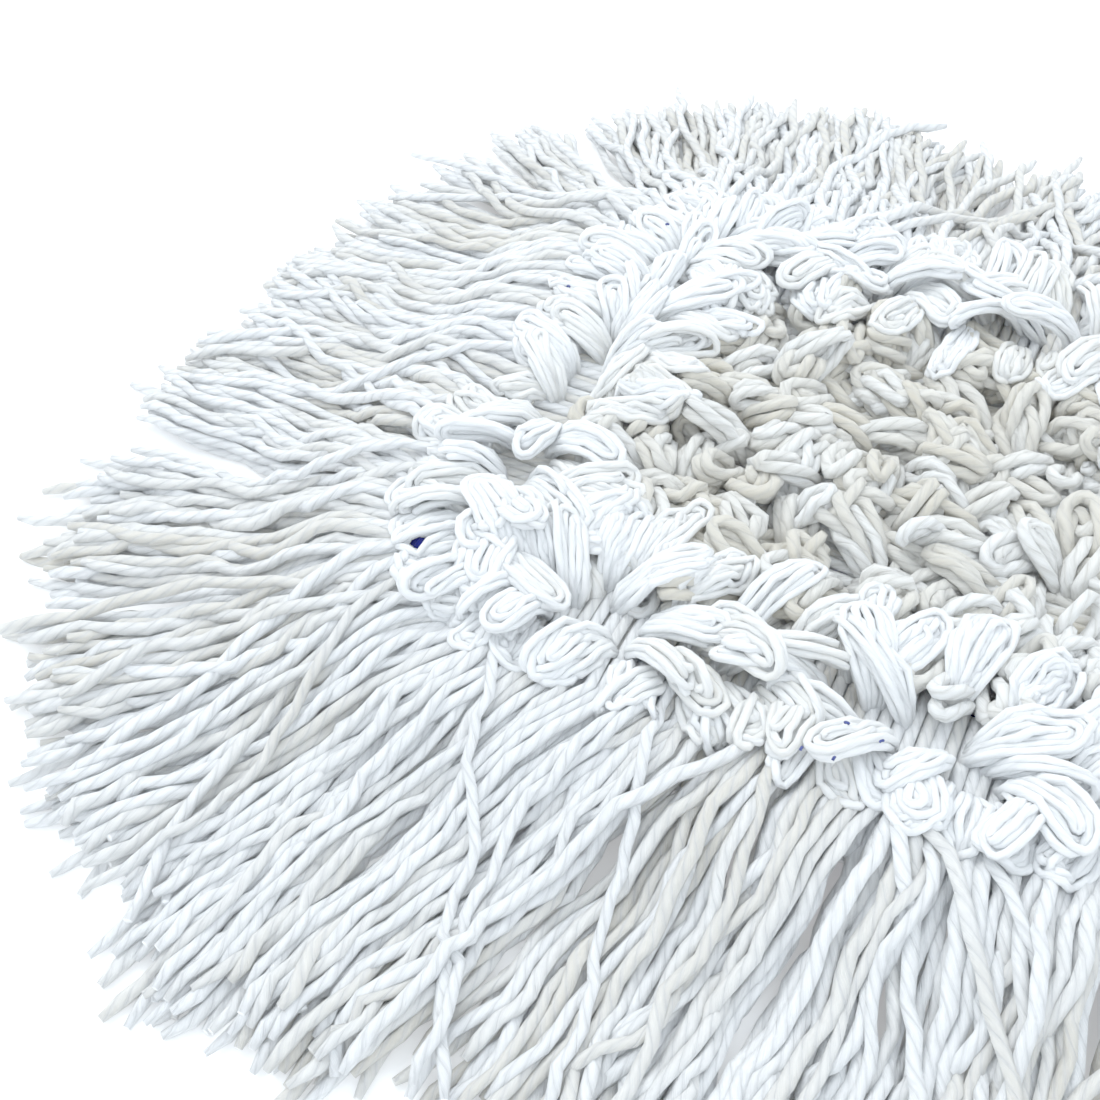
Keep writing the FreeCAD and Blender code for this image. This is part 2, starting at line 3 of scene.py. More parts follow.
import bpy
import numpy as np
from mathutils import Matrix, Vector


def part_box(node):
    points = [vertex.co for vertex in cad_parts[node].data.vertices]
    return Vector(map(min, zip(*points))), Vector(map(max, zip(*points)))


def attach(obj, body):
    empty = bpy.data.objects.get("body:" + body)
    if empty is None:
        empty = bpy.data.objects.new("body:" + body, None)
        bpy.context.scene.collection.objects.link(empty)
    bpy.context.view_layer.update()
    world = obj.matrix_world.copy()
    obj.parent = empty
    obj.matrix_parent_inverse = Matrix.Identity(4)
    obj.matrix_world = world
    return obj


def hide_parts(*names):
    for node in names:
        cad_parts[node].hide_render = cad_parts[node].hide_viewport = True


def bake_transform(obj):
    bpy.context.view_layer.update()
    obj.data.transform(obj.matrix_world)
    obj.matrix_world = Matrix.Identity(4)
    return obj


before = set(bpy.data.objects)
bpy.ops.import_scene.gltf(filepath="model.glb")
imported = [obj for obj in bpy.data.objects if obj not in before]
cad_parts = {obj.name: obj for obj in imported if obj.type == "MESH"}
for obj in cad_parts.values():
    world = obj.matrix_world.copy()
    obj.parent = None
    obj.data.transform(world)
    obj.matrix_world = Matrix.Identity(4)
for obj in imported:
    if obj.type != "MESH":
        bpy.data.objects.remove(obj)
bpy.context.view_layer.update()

mm = 0.001
turn = 2 * math.pi
draw = np.random.default_rng(181)

cameraPlan = {
    "lens": 43.0,  # on a 36 mm sensor
    "heading": 27.0,  # degrees from +Y towards -X
    "pitch": 47.6,  # degrees below the level
    "fromCorner": (105 * mm, -111 * mm, 178 * mm),  # from the backing's near left corner
}
lightPlan = {
    "key": {"place": (-0.75, 0.35, 1.0), "size": 1.0, "power": 9.0, "colour": (0.95, 0.99, 1.0)},
    "fill": {"place": (0.5, -0.9, 0.9), "size": 1.4, "power": 3.0, "colour": (0.88, 0.95, 1.0)},
    "skyColour": (0.81, 0.91, 1.0),
    "skyStrength": 1.0,
    "exposure": 0.32,
    "gamma": 1.6,
}
floorPlan = {"side": 6.0, "colour": (0.95, 0.955, 0.96), "glow": 0.12}

backingLow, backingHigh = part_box("backing_cloth")
halfLength = backingHigh.x
halfWidth = backingHigh.y
backingTop = backingHigh.z
backingUnder = backingLow.z
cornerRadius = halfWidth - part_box("fringe_left")[1].y
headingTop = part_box("fringe_heading")[1].z
tapeLow, tapeTop = (corner.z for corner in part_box("edge_binding"))


def makeCamera(plan):
    data = bpy.data.cameras.new("camera")
    data.lens = plan["lens"]
    camera = bpy.data.objects.new("camera", data)
    corner = (-halfLength, -halfWidth, backingTop)
    camera.location = [c + step for c, step in zip(corner, plan["fromCorner"])]
    camera.rotation_euler = (math.radians(90 - plan["pitch"]), 0, math.radians(plan["heading"]))
    data.clip_start = 0.005
    bpy.context.scene.collection.objects.link(camera)
    bpy.context.scene.camera = camera


def makeLamp(name, plan):
    data = bpy.data.lights.new(name, "AREA")
    data.energy = plan["power"]
    data.color = plan["colour"]
    data.size = plan["size"]
    lamp = bpy.data.objects.new(name, data)
    lamp.location = plan["place"]
    aim = -lamp.location
    lamp.rotation_euler = aim.to_track_quat("-Z", "Y").to_euler()
    bpy.context.scene.collection.objects.link(lamp)


makeCamera(cameraPlan)
makeLamp("keyLight", lightPlan["key"])
makeLamp("fillLight", lightPlan["fill"])
world = bpy.data.worlds.new("studio")
world.use_nodes = True
sky = world.node_tree.nodes["Background"]
sky.inputs["Color"].default_value = (*lightPlan["skyColour"], 1)
sky.inputs["Strength"].default_value = lightPlan["skyStrength"]
bpy.context.scene.world = world
display = bpy.context.scene.view_settings
display.view_transform = "Standard"
display.exposure = lightPlan["exposure"]
display.gamma = lightPlan["gamma"]
print("camera and light made")


def rgb(red, green, blue):
    return (red, green, blue, 1.0)


def operator(operation, swapped=False):
    # A Signal's method for one arithmetic sign. Swapped is for a number on the sign's left side.
    return lambda signal, other: signal.math(operation, other, swapped)


class Signal:
    # A socket's value. Sums and products of signals and numbers add the Math nodes for them.
    def __init__(self, graph, socket):
        self.graph = graph
        self.socket = socket

    def math(self, operation, other=0.0, swapped=False):
        first, second = (other, self) if swapped else (self, other)
        return self.graph.node("ShaderNodeMath", {"operation": operation}, {0: first, 1: second})

    __add__ = operator("ADD")
    __radd__ = operator("ADD", swapped=True)
    __sub__ = operator("SUBTRACT")
    __rsub__ = operator("SUBTRACT", swapped=True)
    __mul__ = operator("MULTIPLY")
    __truediv__ = operator("DIVIDE")
    __pow__ = operator("POWER")

    def sine(self):
        return self.math("SINE")

    def cosine(self):
        return self.math("COSINE")

    def size(self):
        return self.math("ABSOLUTE")

    def from0to1(self, low, high):
        # 0 at low and 1 at high, held at both ends and smooth between them
        settings = {"interpolation_type": "SMOOTHSTEP"}
        sockets = {"Value": self, "From Min": low, "From Max": high}
        return self.graph.node("ShaderNodeMapRange", settings, sockets)


class Graph:
    # A material's node tree. node() adds any node from its type, its settings and its sockets' values
    # or links.
    def __init__(self, name):
        self.material = bpy.data.materials.new(name)
        self.material.use_nodes = True
        self.tree = self.material.node_tree
        self.tree.nodes.clear()

    def node(self, kind, settings=None, sockets=None, outlet=0):
        # The signal is the node's outlet of that number
        made = self.tree.nodes.new(kind)
        for setting, value in (settings or {}).items():
            setattr(made, setting, value)
        for name, value in (sockets or {}).items():
            socket = made.inputs[name]
            if isinstance(value, Signal):
                self.tree.links.new(value.socket, socket)
            else:
                socket.default_value = value
        return Signal(self, made.outputs[outlet]) if len(made.outputs) else None

    def around(self, name="yarnMap"):
        # The two parts of a UV map: for a yarn the turn round it, and the metres along it
        pair = self.node("ShaderNodeUVMap", {"uv_map": name})
        split = {"Vector": pair}
        return [self.node("ShaderNodeSeparateXYZ", None, split, outlet) for outlet in (0, 1)]

    def tone(self):
        # Each yarn's own number, from 0 to 1
        return self.node("ShaderNodeAttribute", {"attribute_name": "tone"}, None, 2)

    def place(self):
        # Where a point is on its piece, in metres
        return self.node("ShaderNodeTexCoord", None, None, 3)

    def point(self, x, y, z):
        return self.node("ShaderNodeCombineXYZ", None, {0: x, 1: y, 2: z})

    def noise(self, place, scale, detail=2.0):
        return self.node("ShaderNodeTexNoise", None, {"Vector": place, "Scale": scale, "Detail": detail})

    def mix(self, factor, first, second):
        # Sockets 6 and 7 of a Mix node are its two colours, and its third outlet is the mixed one
        sockets = {0: factor, 6: first, 7: second}
        return self.node("ShaderNodeMix", {"data_type": "RGBA"}, sockets, 2)

    def finish(self, colour, height, bumpDepth, roughness, sheen, soft=0.0, glow=0.0, gloss=0.25):
        bump = self.node("ShaderNodeBump", None, {"Height": height, "Distance": bumpDepth, "Strength": 1.0})
        uniform = {
            "Sheen Weight": sheen, "Sheen Roughness": 0.5, "Specular IOR Level": gloss,
            "Subsurface Weight": soft, "Subsurface Scale": 1.5 * mm, "Subsurface Radius": (1.0, 0.95, 0.9),
        }
        if glow:
            uniform.update({"Emission Color": rgb(1.0, 1.0, 1.0), "Emission Strength": glow})
        varied = {"Base Color": colour, "Roughness": roughness, "Normal": bump}
        shader = self.node("ShaderNodeBsdfPrincipled", None, {**uniform, **varied})
        self.node("ShaderNodeOutputMaterial", None, {"Surface": shader})
        return self.material


# For each look, white is the cotton. The cream colour is the cotton's own uneven tint and also painted shade
# over the middle of the pad. The groove colour is painted shade between plies
yarnLooks = {
    "fringe": {
        "white": rgb(0.93, 0.95, 0.965), "creamAndShade": rgb(0.68, 0.64, 0.55), "groove": rgb(0.50, 0.51, 0.53),
        "plies": 3, "twist": 11 * mm, "plyDepth": 0.55 * mm, "creamAndShadeFrom": 0.58, "middleShade": 0.08,
    },
    "inner": {
        "white": rgb(0.91, 0.92, 0.91), "creamAndShade": rgb(0.63, 0.58, 0.47), "groove": rgb(0.48, 0.46, 0.42),
        "plies": 3, "twist": 12 * mm, "plyDepth": 0.5 * mm, "creamAndShadeFrom": 0.57, "middleShade": 0.19,
    },
    "loops": {
        "white": rgb(0.94, 0.96, 0.975), "creamAndShade": rgb(0.80, 0.77, 0.69), "groove": rgb(0.66, 0.68, 0.70),
        "plies": 2, "twist": 14 * mm, "plyDepth": 0.25 * mm, "creamAndShadeFrom": 0.62, "middleShade": 0.05,
    },
}


def yarnMaterial(name, look):
    # Twisted cotton. Each ply is a ridge |cos(plies * angle / 2)| whose angle turns with the distance
    # along the yarn, and the grooves between plies are painted darker as shade. Fine fibres are noise
    # stretched along the ply. The tone drifts at random from white to cream over the mop, and the middle
    # of the pad is painted darker and beiger as shade.
    graph = Graph(name)
    part, along = graph.around()
    tone = graph.tone()
    angle = (part + along * (1 / look["twist"])) * turn
    ridge = (angle * (look["plies"] / 2)).cosine().size() ** 0.6
    fibrePlace = graph.point(angle.cosine() * 2.6, angle.sine() * 2.6, along * 90 + tone * 40)
    fibre = graph.noise(fibrePlace, 4.0, 4.0)
    fuzzPlace = graph.point(angle.cosine() * 1.5, angle.sine() * 1.5, along * 700 + tone * 90)
    fuzz = graph.noise(fuzzPlace, 3.0, 3.0)
    place = graph.place()
    lengthwise = graph.node("ShaderNodeSeparateXYZ", None, {"Vector": place})
    middle = 1 - lengthwise.size().from0to1(0.03, 0.2)
    patch = graph.noise(place, 14.0, 3.0)
    # Painted shade: the middle term pushes the middle of the pad towards the darker cream colour; patch and
    # tone are the cotton's own uneven tint
    spread = patch * 0.7 + tone * 0.3 + middle * look["middleShade"]
    creamAndShadeShare = spread.from0to1(look["creamAndShadeFrom"] - 0.14, look["creamAndShadeFrom"] + 0.14)
    base = graph.mix(creamAndShadeShare, look["white"], look["creamAndShade"])
    # Painted shade: where (1 - ridge) is high, in the grooves between plies, the colour darkens towards the
    # dark groove colour; fibre noise streaks it too
    shaded = graph.mix((1 - ridge) * 0.6 + (0.5 - fibre) * 1.1 + 0.08, base, look["groove"])
    height = ridge * 0.7 + fibre * 0.75 + fuzz * 0.3
    return graph.finish(shaded, height, look["plyDepth"], 0.82 + fibre * 0.1, 0.25, 0.35)


# dark is the blue between the threads, as painted shade, and light is the blue on their tops
clothLooks = {
    "canvas": {"dark": rgb(0.003, 0.008, 0.10), "light": rgb(0.016, 0.036, 0.30), "thread": 0.55 * mm},
    "pocket": {"dark": rgb(0.004, 0.009, 0.11), "light": rgb(0.019, 0.042, 0.32), "thread": 0.62 * mm},
    "tape": {"dark": rgb(0.001, 0.002, 0.08), "light": rgb(0.003, 0.008, 0.22), "thread": 0.40 * mm},
}


def clothMaterial(name, look):
    # Plain weave on the cloth's own map, in metres: warp and weft threads are ridges |sin| across each
    # other, and the one that lies on top changes from thread to thread.
    graph = Graph(name)
    across, along = graph.around("clothMap")
    step = math.pi / look["thread"]
    warp = (across * step).sine()
    weft = (along * step).sine()
    over = (warp * weft).from0to1(-0.35, 0.35)
    warpRidge = 1 - (across * step).cosine().size()
    weftRidge = 1 - (along * step).cosine().size()
    weave = warpRidge * over + weftRidge * (1 - over)
    place = graph.place()
    slub = graph.noise(graph.point(across * 160, along * 900, 0.0), 1.0, 2.0)
    wear = graph.noise(place, 30.0, 4.0)
    # Painted shade: the colour is dark where the weave dips between threads and light on their tops; wear
    # and slubs are the cloth's own uneven colour
    colour = graph.mix(weave * 0.7 + wear * 0.3 + (slub - 0.5) * 0.5, look["dark"], look["light"])
    height = weave + (slub - 0.5) * 0.5
    return graph.finish(colour, height, 0.25 * mm, 0.8 + wear * 0.12, 0.02, gloss=0.08)


def threadMaterial(name, dark, light):
    # Two-ply sewing thread: ridges that wind along each stitch, with painted shade in the grooves between
    # them
    graph = Graph(name)
    part, along = graph.around()
    tone = graph.tone()
    ridge = ((part + along / (1.4 * mm)) * turn).cosine().size()
    # Painted shade: darker in the grooves between plies, and each stitch has its own random tone
    colour = graph.mix(ridge * 0.6 + tone * 0.4, dark, light)
    return graph.finish(colour, ridge, 0.12 * mm, 0.6 + ridge * 0.1, 0.1)


def floorMaterial(name, colour, glow):
    graph = Graph(name)
    place = graph.place()
    grain = graph.noise(place, 40.0, 2.0)
    shade = graph.mix(grain, rgb(*colour), rgb(*(c * 0.985 for c in colour)))
    return graph.finish(shade, grain, 0.02 * mm, 0.7 + grain * 0.05, 0.0, glow=glow)


fringeYarn = yarnMaterial("twistedFringeCotton", yarnLooks["fringe"])
innerYarn = yarnMaterial("innerLoopCotton", yarnLooks["inner"])
loopYarn = yarnMaterial("softLoopCotton", yarnLooks["loops"])
canvas = clothMaterial("blueCanvas", clothLooks["canvas"])
pocketCanvas = clothMaterial("bluePocketCanvas", clothLooks["pocket"])
tape = clothMaterial("blueBindingTape", clothLooks["tape"])
thread = threadMaterial("whiteThread", rgb(0.55, 0.57, 0.62), rgb(0.84, 0.86, 0.88))
blueThread = threadMaterial("blueThread", rgb(0.006, 0.01, 0.09), rgb(0.02, 0.035, 0.2))
print("materials made")


def makePiece(name, points, faceSets, material, body, replaces, uv, uvName, tone=None):
    # One mesh from an array of points and arrays of faces, each set with its own number of corners
    mesh = bpy.data.meshes.new(name)
    corners = np.concatenate([faces.ravel() for faces in faceSets]).astype(np.int32)
    sizes = np.concatenate([np.full(len(faces), faces.shape[1]) for faces in faceSets])
    starts = (np.cumsum(sizes) - sizes).astype(np.int32)
    mesh.vertices.add(len(points))
    mesh.vertices.foreach_set("co", np.ascontiguousarray(points, np.float32).ravel())
    mesh.loops.add(len(corners))
    mesh.loops.foreach_set("vertex_index", corners)
    mesh.polygons.add(len(starts))
    mesh.polygons.foreach_set("loop_start", starts)
    mesh.polygons.foreach_set("use_smooth", np.ones(len(starts), bool))
    mesh.update(calc_edges=True)
    layer = mesh.uv_layers.new(name=uvName)
    layer.data.foreach_set("uv", np.ascontiguousarray(uv, np.float32).ravel())
    if tone is not None:
        attribute = mesh.attributes.new("tone", "FLOAT", "POINT")
        attribute.data.foreach_set("value", np.ascontiguousarray(tone, np.float32).ravel())
    mesh.materials.append(material)
    mesh.validate()
    piece = bpy.data.objects.new(name, mesh)
    bpy.context.scene.collection.objects.link(piece)
    if body:
        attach(piece, body)
    if replaces:
        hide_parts(*replaces)
    return piece


def makeCloth(name, sheet, material, replaces):
    points, faces, flatMap = sheet
    return makePiece(name, points, faces, material, "pad", replaces, flatMap, "clothMap")


def makeYarns(name, tube, radius, sides, tone, material, replaces, body="pad"):
    # Each yarn has its own tone, and one radius serves all of them or each ring has its own
    radius = np.broadcast_to(radius, tube.shape[:2])
    points, faces, yarnMap, tones = tubeArrays(tube, radius, sides, tone)
    return makePiece(name, points, faces, material, body, replaces, yarnMap, "yarnMap", tones)


def unevenRadius(tube, radius, between, within):
    # Radii that differ from yarn to yarn and from ring to ring: radius * (1 + noise of a yarn + noise
    # of a ring)
    return radius * (1 + draw.normal(0, between, (len(tube), 1)) + draw.normal(0, within, tube.shape[:2]))


def smooth(t):
    # 3 t^2 - 2 t^3, held at 0 and 1
    t = np.clip(t, 0, 1)
    return t * t * (3 - 2 * t)


def lengthAlong(paths):
    # The distance along each path to each of its points
    run = np.linalg.norm(np.diff(paths, axis=1), axis=2)
    return np.concatenate([np.zeros((len(paths), 1)), np.cumsum(run, axis=1)], axis=1)


def unit(vectors):
    return vectors / np.maximum(np.linalg.norm(vectors, axis=-1, keepdims=True), 1e-9)


def tubeArrays(paths, radius, sides, tone):
    # Round tubes along many paths at once. A point is path + radius * (cos(a) * side + sin(a) * up),
    # where side is carried along the path without turning about it. Both ends are closed by one face.
    count, rings = paths.shape[:2]
    tangent = unit(np.gradient(paths, axis=1))
    side = np.empty_like(paths)
    side[:, 0] = unit(np.cross(tangent[:, 0], np.array([0.13, 0.21, 1.0])))
    for ring in range(1, rings):
        carried = side[:, ring - 1]
        lean = (carried * tangent[:, ring]).sum(1, keepdims=True)
        side[:, ring] = unit(carried - lean * tangent[:, ring])
    up = np.cross(tangent, side)
    angle = np.arange(sides) * turn / sides
    spoke = np.cos(angle)[:, None] * side[:, :, None] + np.sin(angle)[:, None] * up[:, :, None]
    points = paths[:, :, None] + radius[:, :, None, None] * spoke
    index = np.arange(count * rings * sides).reshape(count, rings, sides)
    following = np.roll(index, -1, axis=2)
    quads = np.stack([index[:, :-1], following[:, :-1], following[:, 1:], index[:, 1:]], axis=-1)
    caps = np.concatenate([index[:, 0, ::-1], index[:, -1]])
    along = lengthAlong(paths)
    share = np.arange(sides + 1) / sides + 0.37 * np.arange(count)[:, None]
    low, high = share[:, None, :-1], share[:, None, 1:]
    near, far = along[:, :-1, None], along[:, 1:, None]
    everywhere = np.zeros((count, rings - 1, sides))
    edges = (low, near, high, near, high, far, low, far)
    quadMap = np.stack([value + everywhere for value in edges], axis=-1)
    capMap = np.zeros((2 * count, sides, 2))
    uv = np.concatenate([quadMap.reshape(-1, 2), capMap.reshape(-1, 2)])
    tones = np.repeat(tone, rings * sides)
    return points.reshape(-1, 3), [quads.reshape(-1, 4), caps], uv, tones


def curveThrough(knots, rings, focus=1.0):
    # Points along smooth curves through many rows of knots at once, by the Catmull-Rom formula. A focus
    # above 1 sets more of them near the middle: at = middle * (1 + w * |w|^(focus - 1)), with w from -1
    # to 1.
    count = knots.shape[1]
    even = np.linspace(-1, 1, rings)
    at = (count - 1) / 2 * (1 + even * np.abs(even) ** (focus - 1))
    start = np.clip(at.astype(int), 0, count - 2)
    part = (at - start)[None, :, None]
    picks = [np.clip(start + step, 0, count - 1) for step in (-1, 0, 1, 2)]
    before, first, second, after = (knots[:, pick] for pick in picks)
    return 0.5 * (
        2 * first
        + (second - before) * part
        + (2 * before - 5 * first + 4 * second - after) * part**2
        + (3 * first - before - 3 * second + after) * part**3
    )


def crimped(tube, size, wave):
    # Shifts the rings of each yarn by uneven waves, size * sin(phase + turn * distance / wave) in all
    # three directions. They fade in over the first 8 mm, so the foot stays in its place.
    count = len(tube)
    along = lengthAlong(tube)[..., None]
    phase = draw.uniform(0, turn, (count, 1, 3))
    pace = turn / (wave * draw.uniform(0.75, 1.35, (count, 1, 3)))
    amount = size * draw.uniform(0.2, 1.0, (count, 1, 3))
    fade = np.clip(along / (8 * mm), 0, 1)
    return tube + amount * fade * (np.sin(phase + pace * along) - np.sin(phase))


straightX = halfLength - cornerRadius
straightY = halfWidth - cornerRadius
quarterArc = cornerRadius * math.pi / 2
sideRuns = [2 * straightY, quarterArc, 2 * straightX, quarterArc] * 2
outlineLength = sum(sideRuns)


def sideAt(distance):
    # Which of the outline's eight runs a distance is on, from 0 to 7, and how far it goes into that run
    ends = np.cumsum(sideRuns)
    run = np.minimum(np.searchsorted(ends, distance, side="right"), 7)
    return run, distance - (ends - sideRuns)[run]


def outlineAt(distance):
    # The backing's outline at a distance along it, anticlockwise from the right end's near corner: the
    # point and the outward normal. Straight sides run between quarter circles.
    run, into = sideAt(np.mod(distance, outlineLength))
    quarter = run // 2
    onArc = run % 2 == 1
    facing = quarter * math.pi / 2 + np.where(onArc, into / cornerRadius, 0)
    normal = np.stack([np.cos(facing), np.sin(facing)], axis=-1)
    signX = np.where((quarter == 0) | (quarter == 3), 1, -1)
    signY = np.where(quarter < 2, 1, -1)
    # The centre of the quarter circle that closes a side, the side's direction, and what is left of the
    # side
    centre = np.stack([signX * straightX, signY * straightY], axis=-1)
    ahead = np.stack([-np.sin(quarter * math.pi / 2), np.cos(quarter * math.pi / 2)], axis=-1)
    sideLength = np.where(quarter % 2 == 0, 2 * straightY, 2 * straightX)
    back = np.where(onArc, 0, sideLength - into)
    point = centre + cornerRadius * normal - ahead * back[..., None]
    return point, normal


def outside(points):
    # Signed distance from the outline in plan, positive outside it: that of a rounded rectangle
    reach = np.abs(points[..., :2]) - np.array([straightX, straightY])
    beyond = np.linalg.norm(np.maximum(reach, 0), axis=-1)
    return beyond + np.minimum(reach.max(axis=-1), 0) - cornerRadius


def shellArrays(upper, lower, flatMap):
    # A thin closed shell between two grids of points. The upper one faces up, and the rim faces outwards.
    index = np.arange(upper.shape[0] * upper.shape[1]).reshape(upper.shape[:2])
    below = index.size
    corners = [index[:-1, :-1], index[1:, :-1], index[1:, 1:], index[:-1, 1:]]
    quads = np.stack(corners, axis=-1).reshape(-1, 4)
    rim = np.concatenate([index[:, 0], index[-1, 1:], index[-2::-1, -1], index[0, -2:0:-1]])
    ahead = np.roll(rim, -1)
    sides = np.stack([rim + below, ahead + below, ahead, rim], axis=-1)
    faces = np.concatenate([quads, quads[:, ::-1] + below, sides])
    points = np.concatenate([upper.reshape(-1, 3), lower.reshape(-1, 3)])
    return points, [faces], flatMap.reshape(-1, 2)[faces % below].reshape(-1, 2)


def gridNormals(grid):
    # Unit normals of a grid of points, by the cross product of its two directions
    return unit(np.cross(np.gradient(grid, axis=0), np.gradient(grid, axis=1)))


def wrinkles(x, y, size):
    # Low waves, crossed and uneven, as in sewn canvas
    first = np.sin(x * 190 + 2.2 * np.sin(y * 83)) * np.sin(y * 141 + 1.7 * np.sin(x * 61))
    return size * (first + 0.6 * np.sin(x * 71 - y * 97 + 1.3 * np.sin(x * 33)))


backingPlan = {"columns": 170, "rows": 56, "cornerColumns": 16, "pucker": 0.14 * mm}


def makeBacking(plan):
    # Columns across the pad. A column reaches to +-(straightY + sqrt(radius^2 - past^2)), where past is
    # how far its x is past the start of the corner's quarter circle.
    sweep = np.linspace(0, math.pi / 2, plan["cornerColumns"] + 1)[1:]
    corner = straightX + cornerRadius * np.sin(sweep)
    x = np.concatenate([-corner[::-1], np.linspace(-straightX, straightX, plan["columns"]), corner])
    past = np.clip(np.abs(x) - straightX, 0, cornerRadius)
    reach = straightY + np.sqrt(np.maximum(cornerRadius**2 - past**2, 0))
    y = reach[:, None] * np.linspace(-1, 1, plan["rows"])[None, :]
    x = np.broadcast_to(x[:, None], y.shape)
    inner = np.clip(-outside(np.stack([x, y], axis=-1)) / (12 * mm), 0, 1)
    ripple = wrinkles(x, y, plan["pucker"]) * inner
    upper = np.stack([x, y, backingTop + ripple], axis=-1)
    lower = np.stack([x, y, backingUnder + ripple], axis=-1)
    sheet = shellArrays(upper, lower, np.stack([x, y], axis=-1))
    return makeCloth("backing", sheet, canvas, ("backing_cloth",))


bindingPlan = {
    "width": 10 * mm, "thick": 0.6 * mm, "pucker": 0.10 * mm, "steps": 560, "flatPoints": 7, "foldPoints": 7,
}


def makeBinding(plan):
    # A folded tape carried round the outline. Its middle line runs out over the backing, round the edge
    # in a half circle and back under it, and its two faces lie half its thickness either side.
    thick, middle = plan["thick"], (tapeTop + tapeLow) / 2
    bend = (tapeTop - tapeLow - thick) / 2
    flat, fold = plan["flatPoints"], np.linspace(0, math.pi, plan["foldPoints"] + 2)[1:-1]
    run = np.linspace(plan["width"], bend - thick / 2, flat)
    angle = np.concatenate([np.zeros(flat), fold, np.full(flat, math.pi)])
    base = np.concatenate([run, np.full(len(fold), run[-1]), run[::-1]])
    faces = []
    for radius in (bend + thick / 2, bend - thick / 2):
        faces.append(np.stack([base - radius * np.sin(angle), middle + radius * np.cos(angle)], axis=-1))
    profile = np.concatenate([faces[0], faces[1][::-1]])
    at = np.arange(plan["steps"]) * outlineLength / plan["steps"]
    edge, normal = outlineAt(at)
    # The tape puckers from stitch to stitch, on its outer face only
    pucker = plan["pucker"] * (np.sin(at * turn / (7 * mm)) + 0.7 * np.sin(at * 311 + 2 * np.sin(at * 47)))
    inset, high = profile[:, 0], profile[:, 1]
    outer = (np.arange(len(profile)) < len(angle)) * 1.0
    inwards = inset[None, :, None] - (pucker[:, None] * outer)[..., None] * 0.4
    z = high[None, :] + pucker[:, None] * 0.5 * outer * np.sign(high - middle)[None, :]
    points = np.concatenate([edge[:, None] - normal[:, None] * inwards, z[..., None]], axis=2)
    steps, corners = points.shape[:2]
    index = np.arange(steps * corners).reshape(steps, corners)
    onward, around = np.roll(index, -1, axis=0), np.roll(index, -1, axis=1)
    both = np.roll(onward, -1, axis=1)
    quads = np.stack([index, onward, both, around], axis=-1).reshape(-1, 4)
    girth = lengthAlong(profile[None])[0]
    girth = np.append(girth, girth[-1] + thick)
    along = np.concatenate([at, [outlineLength]])
    corner = np.array([(0, 0), (1, 0), (1, 1), (0, 1)])
    rows = (np.arange(steps)[:, None, None] + corner[:, 0]) + 0 * np.arange(corners)[None, :, None]
    columns = (np.arange(corners)[None, :, None] + corner[:, 1]) + 0 * np.arange(steps)[:, None, None]
    flatMap = np.stack([along[rows], girth[columns]], axis=-1).reshape(-1, 2)
    sheet = points.reshape(-1, 3), [quads], flatMap
    return makeCloth("bindingTape", sheet, tape, ("edge_binding",))


pocketPlan = {
    "thick": 0.9 * mm, "flange": 3.4 * mm, "wall": 2.4 * mm, "columns": 64, "cornerColumns": 30, "rows": 90,
    "wrinkle": 0.12 * mm,
}


def wallPositions(length, plan, count):
    # Distances from the flange's outer edge, closer together where the cloth turns down into the wall
    wallEnd = plan["flange"] + plan["wall"]
    flange = np.linspace(0, plan["flange"], 4)[:-1]
    wall = np.linspace(plan["flange"], wallEnd, 10)[:-1]
    rest = np.linspace(wallEnd, length, count - len(flange) - len(wall))
    return np.concatenate([flange, wall, rest])


def makePocket(side, plan):
    # A patch of canvas sewn down along three sides, with its two outer corners round like the
    # backing's. It is open towards the middle of the pad. Columns go in from the end, and each reaches
    # to +-(straightY + sqrt(radius^2 - past^2)). With the distance in from the outline, into, it drops
    # from its flange to the table: z = floor + (top - floor) * (1 - smooth((into - flange) / wall)).
    node = f"{side}_pocket"
    low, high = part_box(node)
    thick = plan["thick"]
    floor, top = low.z + thick / 2, high.z - thick / 2
    direction = -1 if side == "left" else 1
    inset = halfWidth - high.y
    radius = cornerRadius - inset
    sweep = np.linspace(0, math.pi / 2, plan["cornerColumns"])
    fromEnd = np.concatenate(
        [radius * (1 - np.cos(sweep)), np.linspace(radius, high.x - low.x, plan["columns"])[1:]]
    )
    past = np.maximum(radius - fromEnd, 0)
    reach = straightY + np.sqrt(np.maximum(radius**2 - past**2, 0))
    half = 1 - wallPositions(high.y, plan, plan["rows"] // 2) / high.y
    share = np.concatenate([-half, half[::-1][1:]])
    x = direction * (halfLength - inset - fromEnd)
    order = slice(None) if direction < 0 else slice(None, None, -1)
    x, reach = x[order], reach[order]
    gridX = np.broadcast_to(x[:, None], (len(x), len(share)))
    gridY = reach[:, None] * share[None, :]
    into = -outside(np.stack([gridX, gridY], axis=-1)) - inset
    slack = np.clip((into - 5 * mm) / (14 * mm), 0, 1)
    ripple = np.abs(wrinkles(gridX * 1.6, gridY * 1.6, plan["wrinkle"])) * slack
    z = floor + (top - floor) * (1 - smooth((into - plan["flange"]) / plan["wall"])) + ripple
    grid = np.stack([gridX, gridY, z], axis=-1)
    normals = gridNormals(grid)
    spread = np.stack([gridX, gridY + z], axis=-1)
    sheet = shellArrays(grid + normals * thick / 2, grid - normals * thick / 2, spread)
    sheet[0][:, 2] = np.clip(sheet[0][:, 2], low.z + 0.02 * mm, high.z)
    return makeCloth(f"{side}Pocket", sheet, pocketCanvas, (node,))


hemPlan = {"columns": 15, "rows": 110, "thinnest": 0.05 * mm, "ripple": 0.05 * mm}


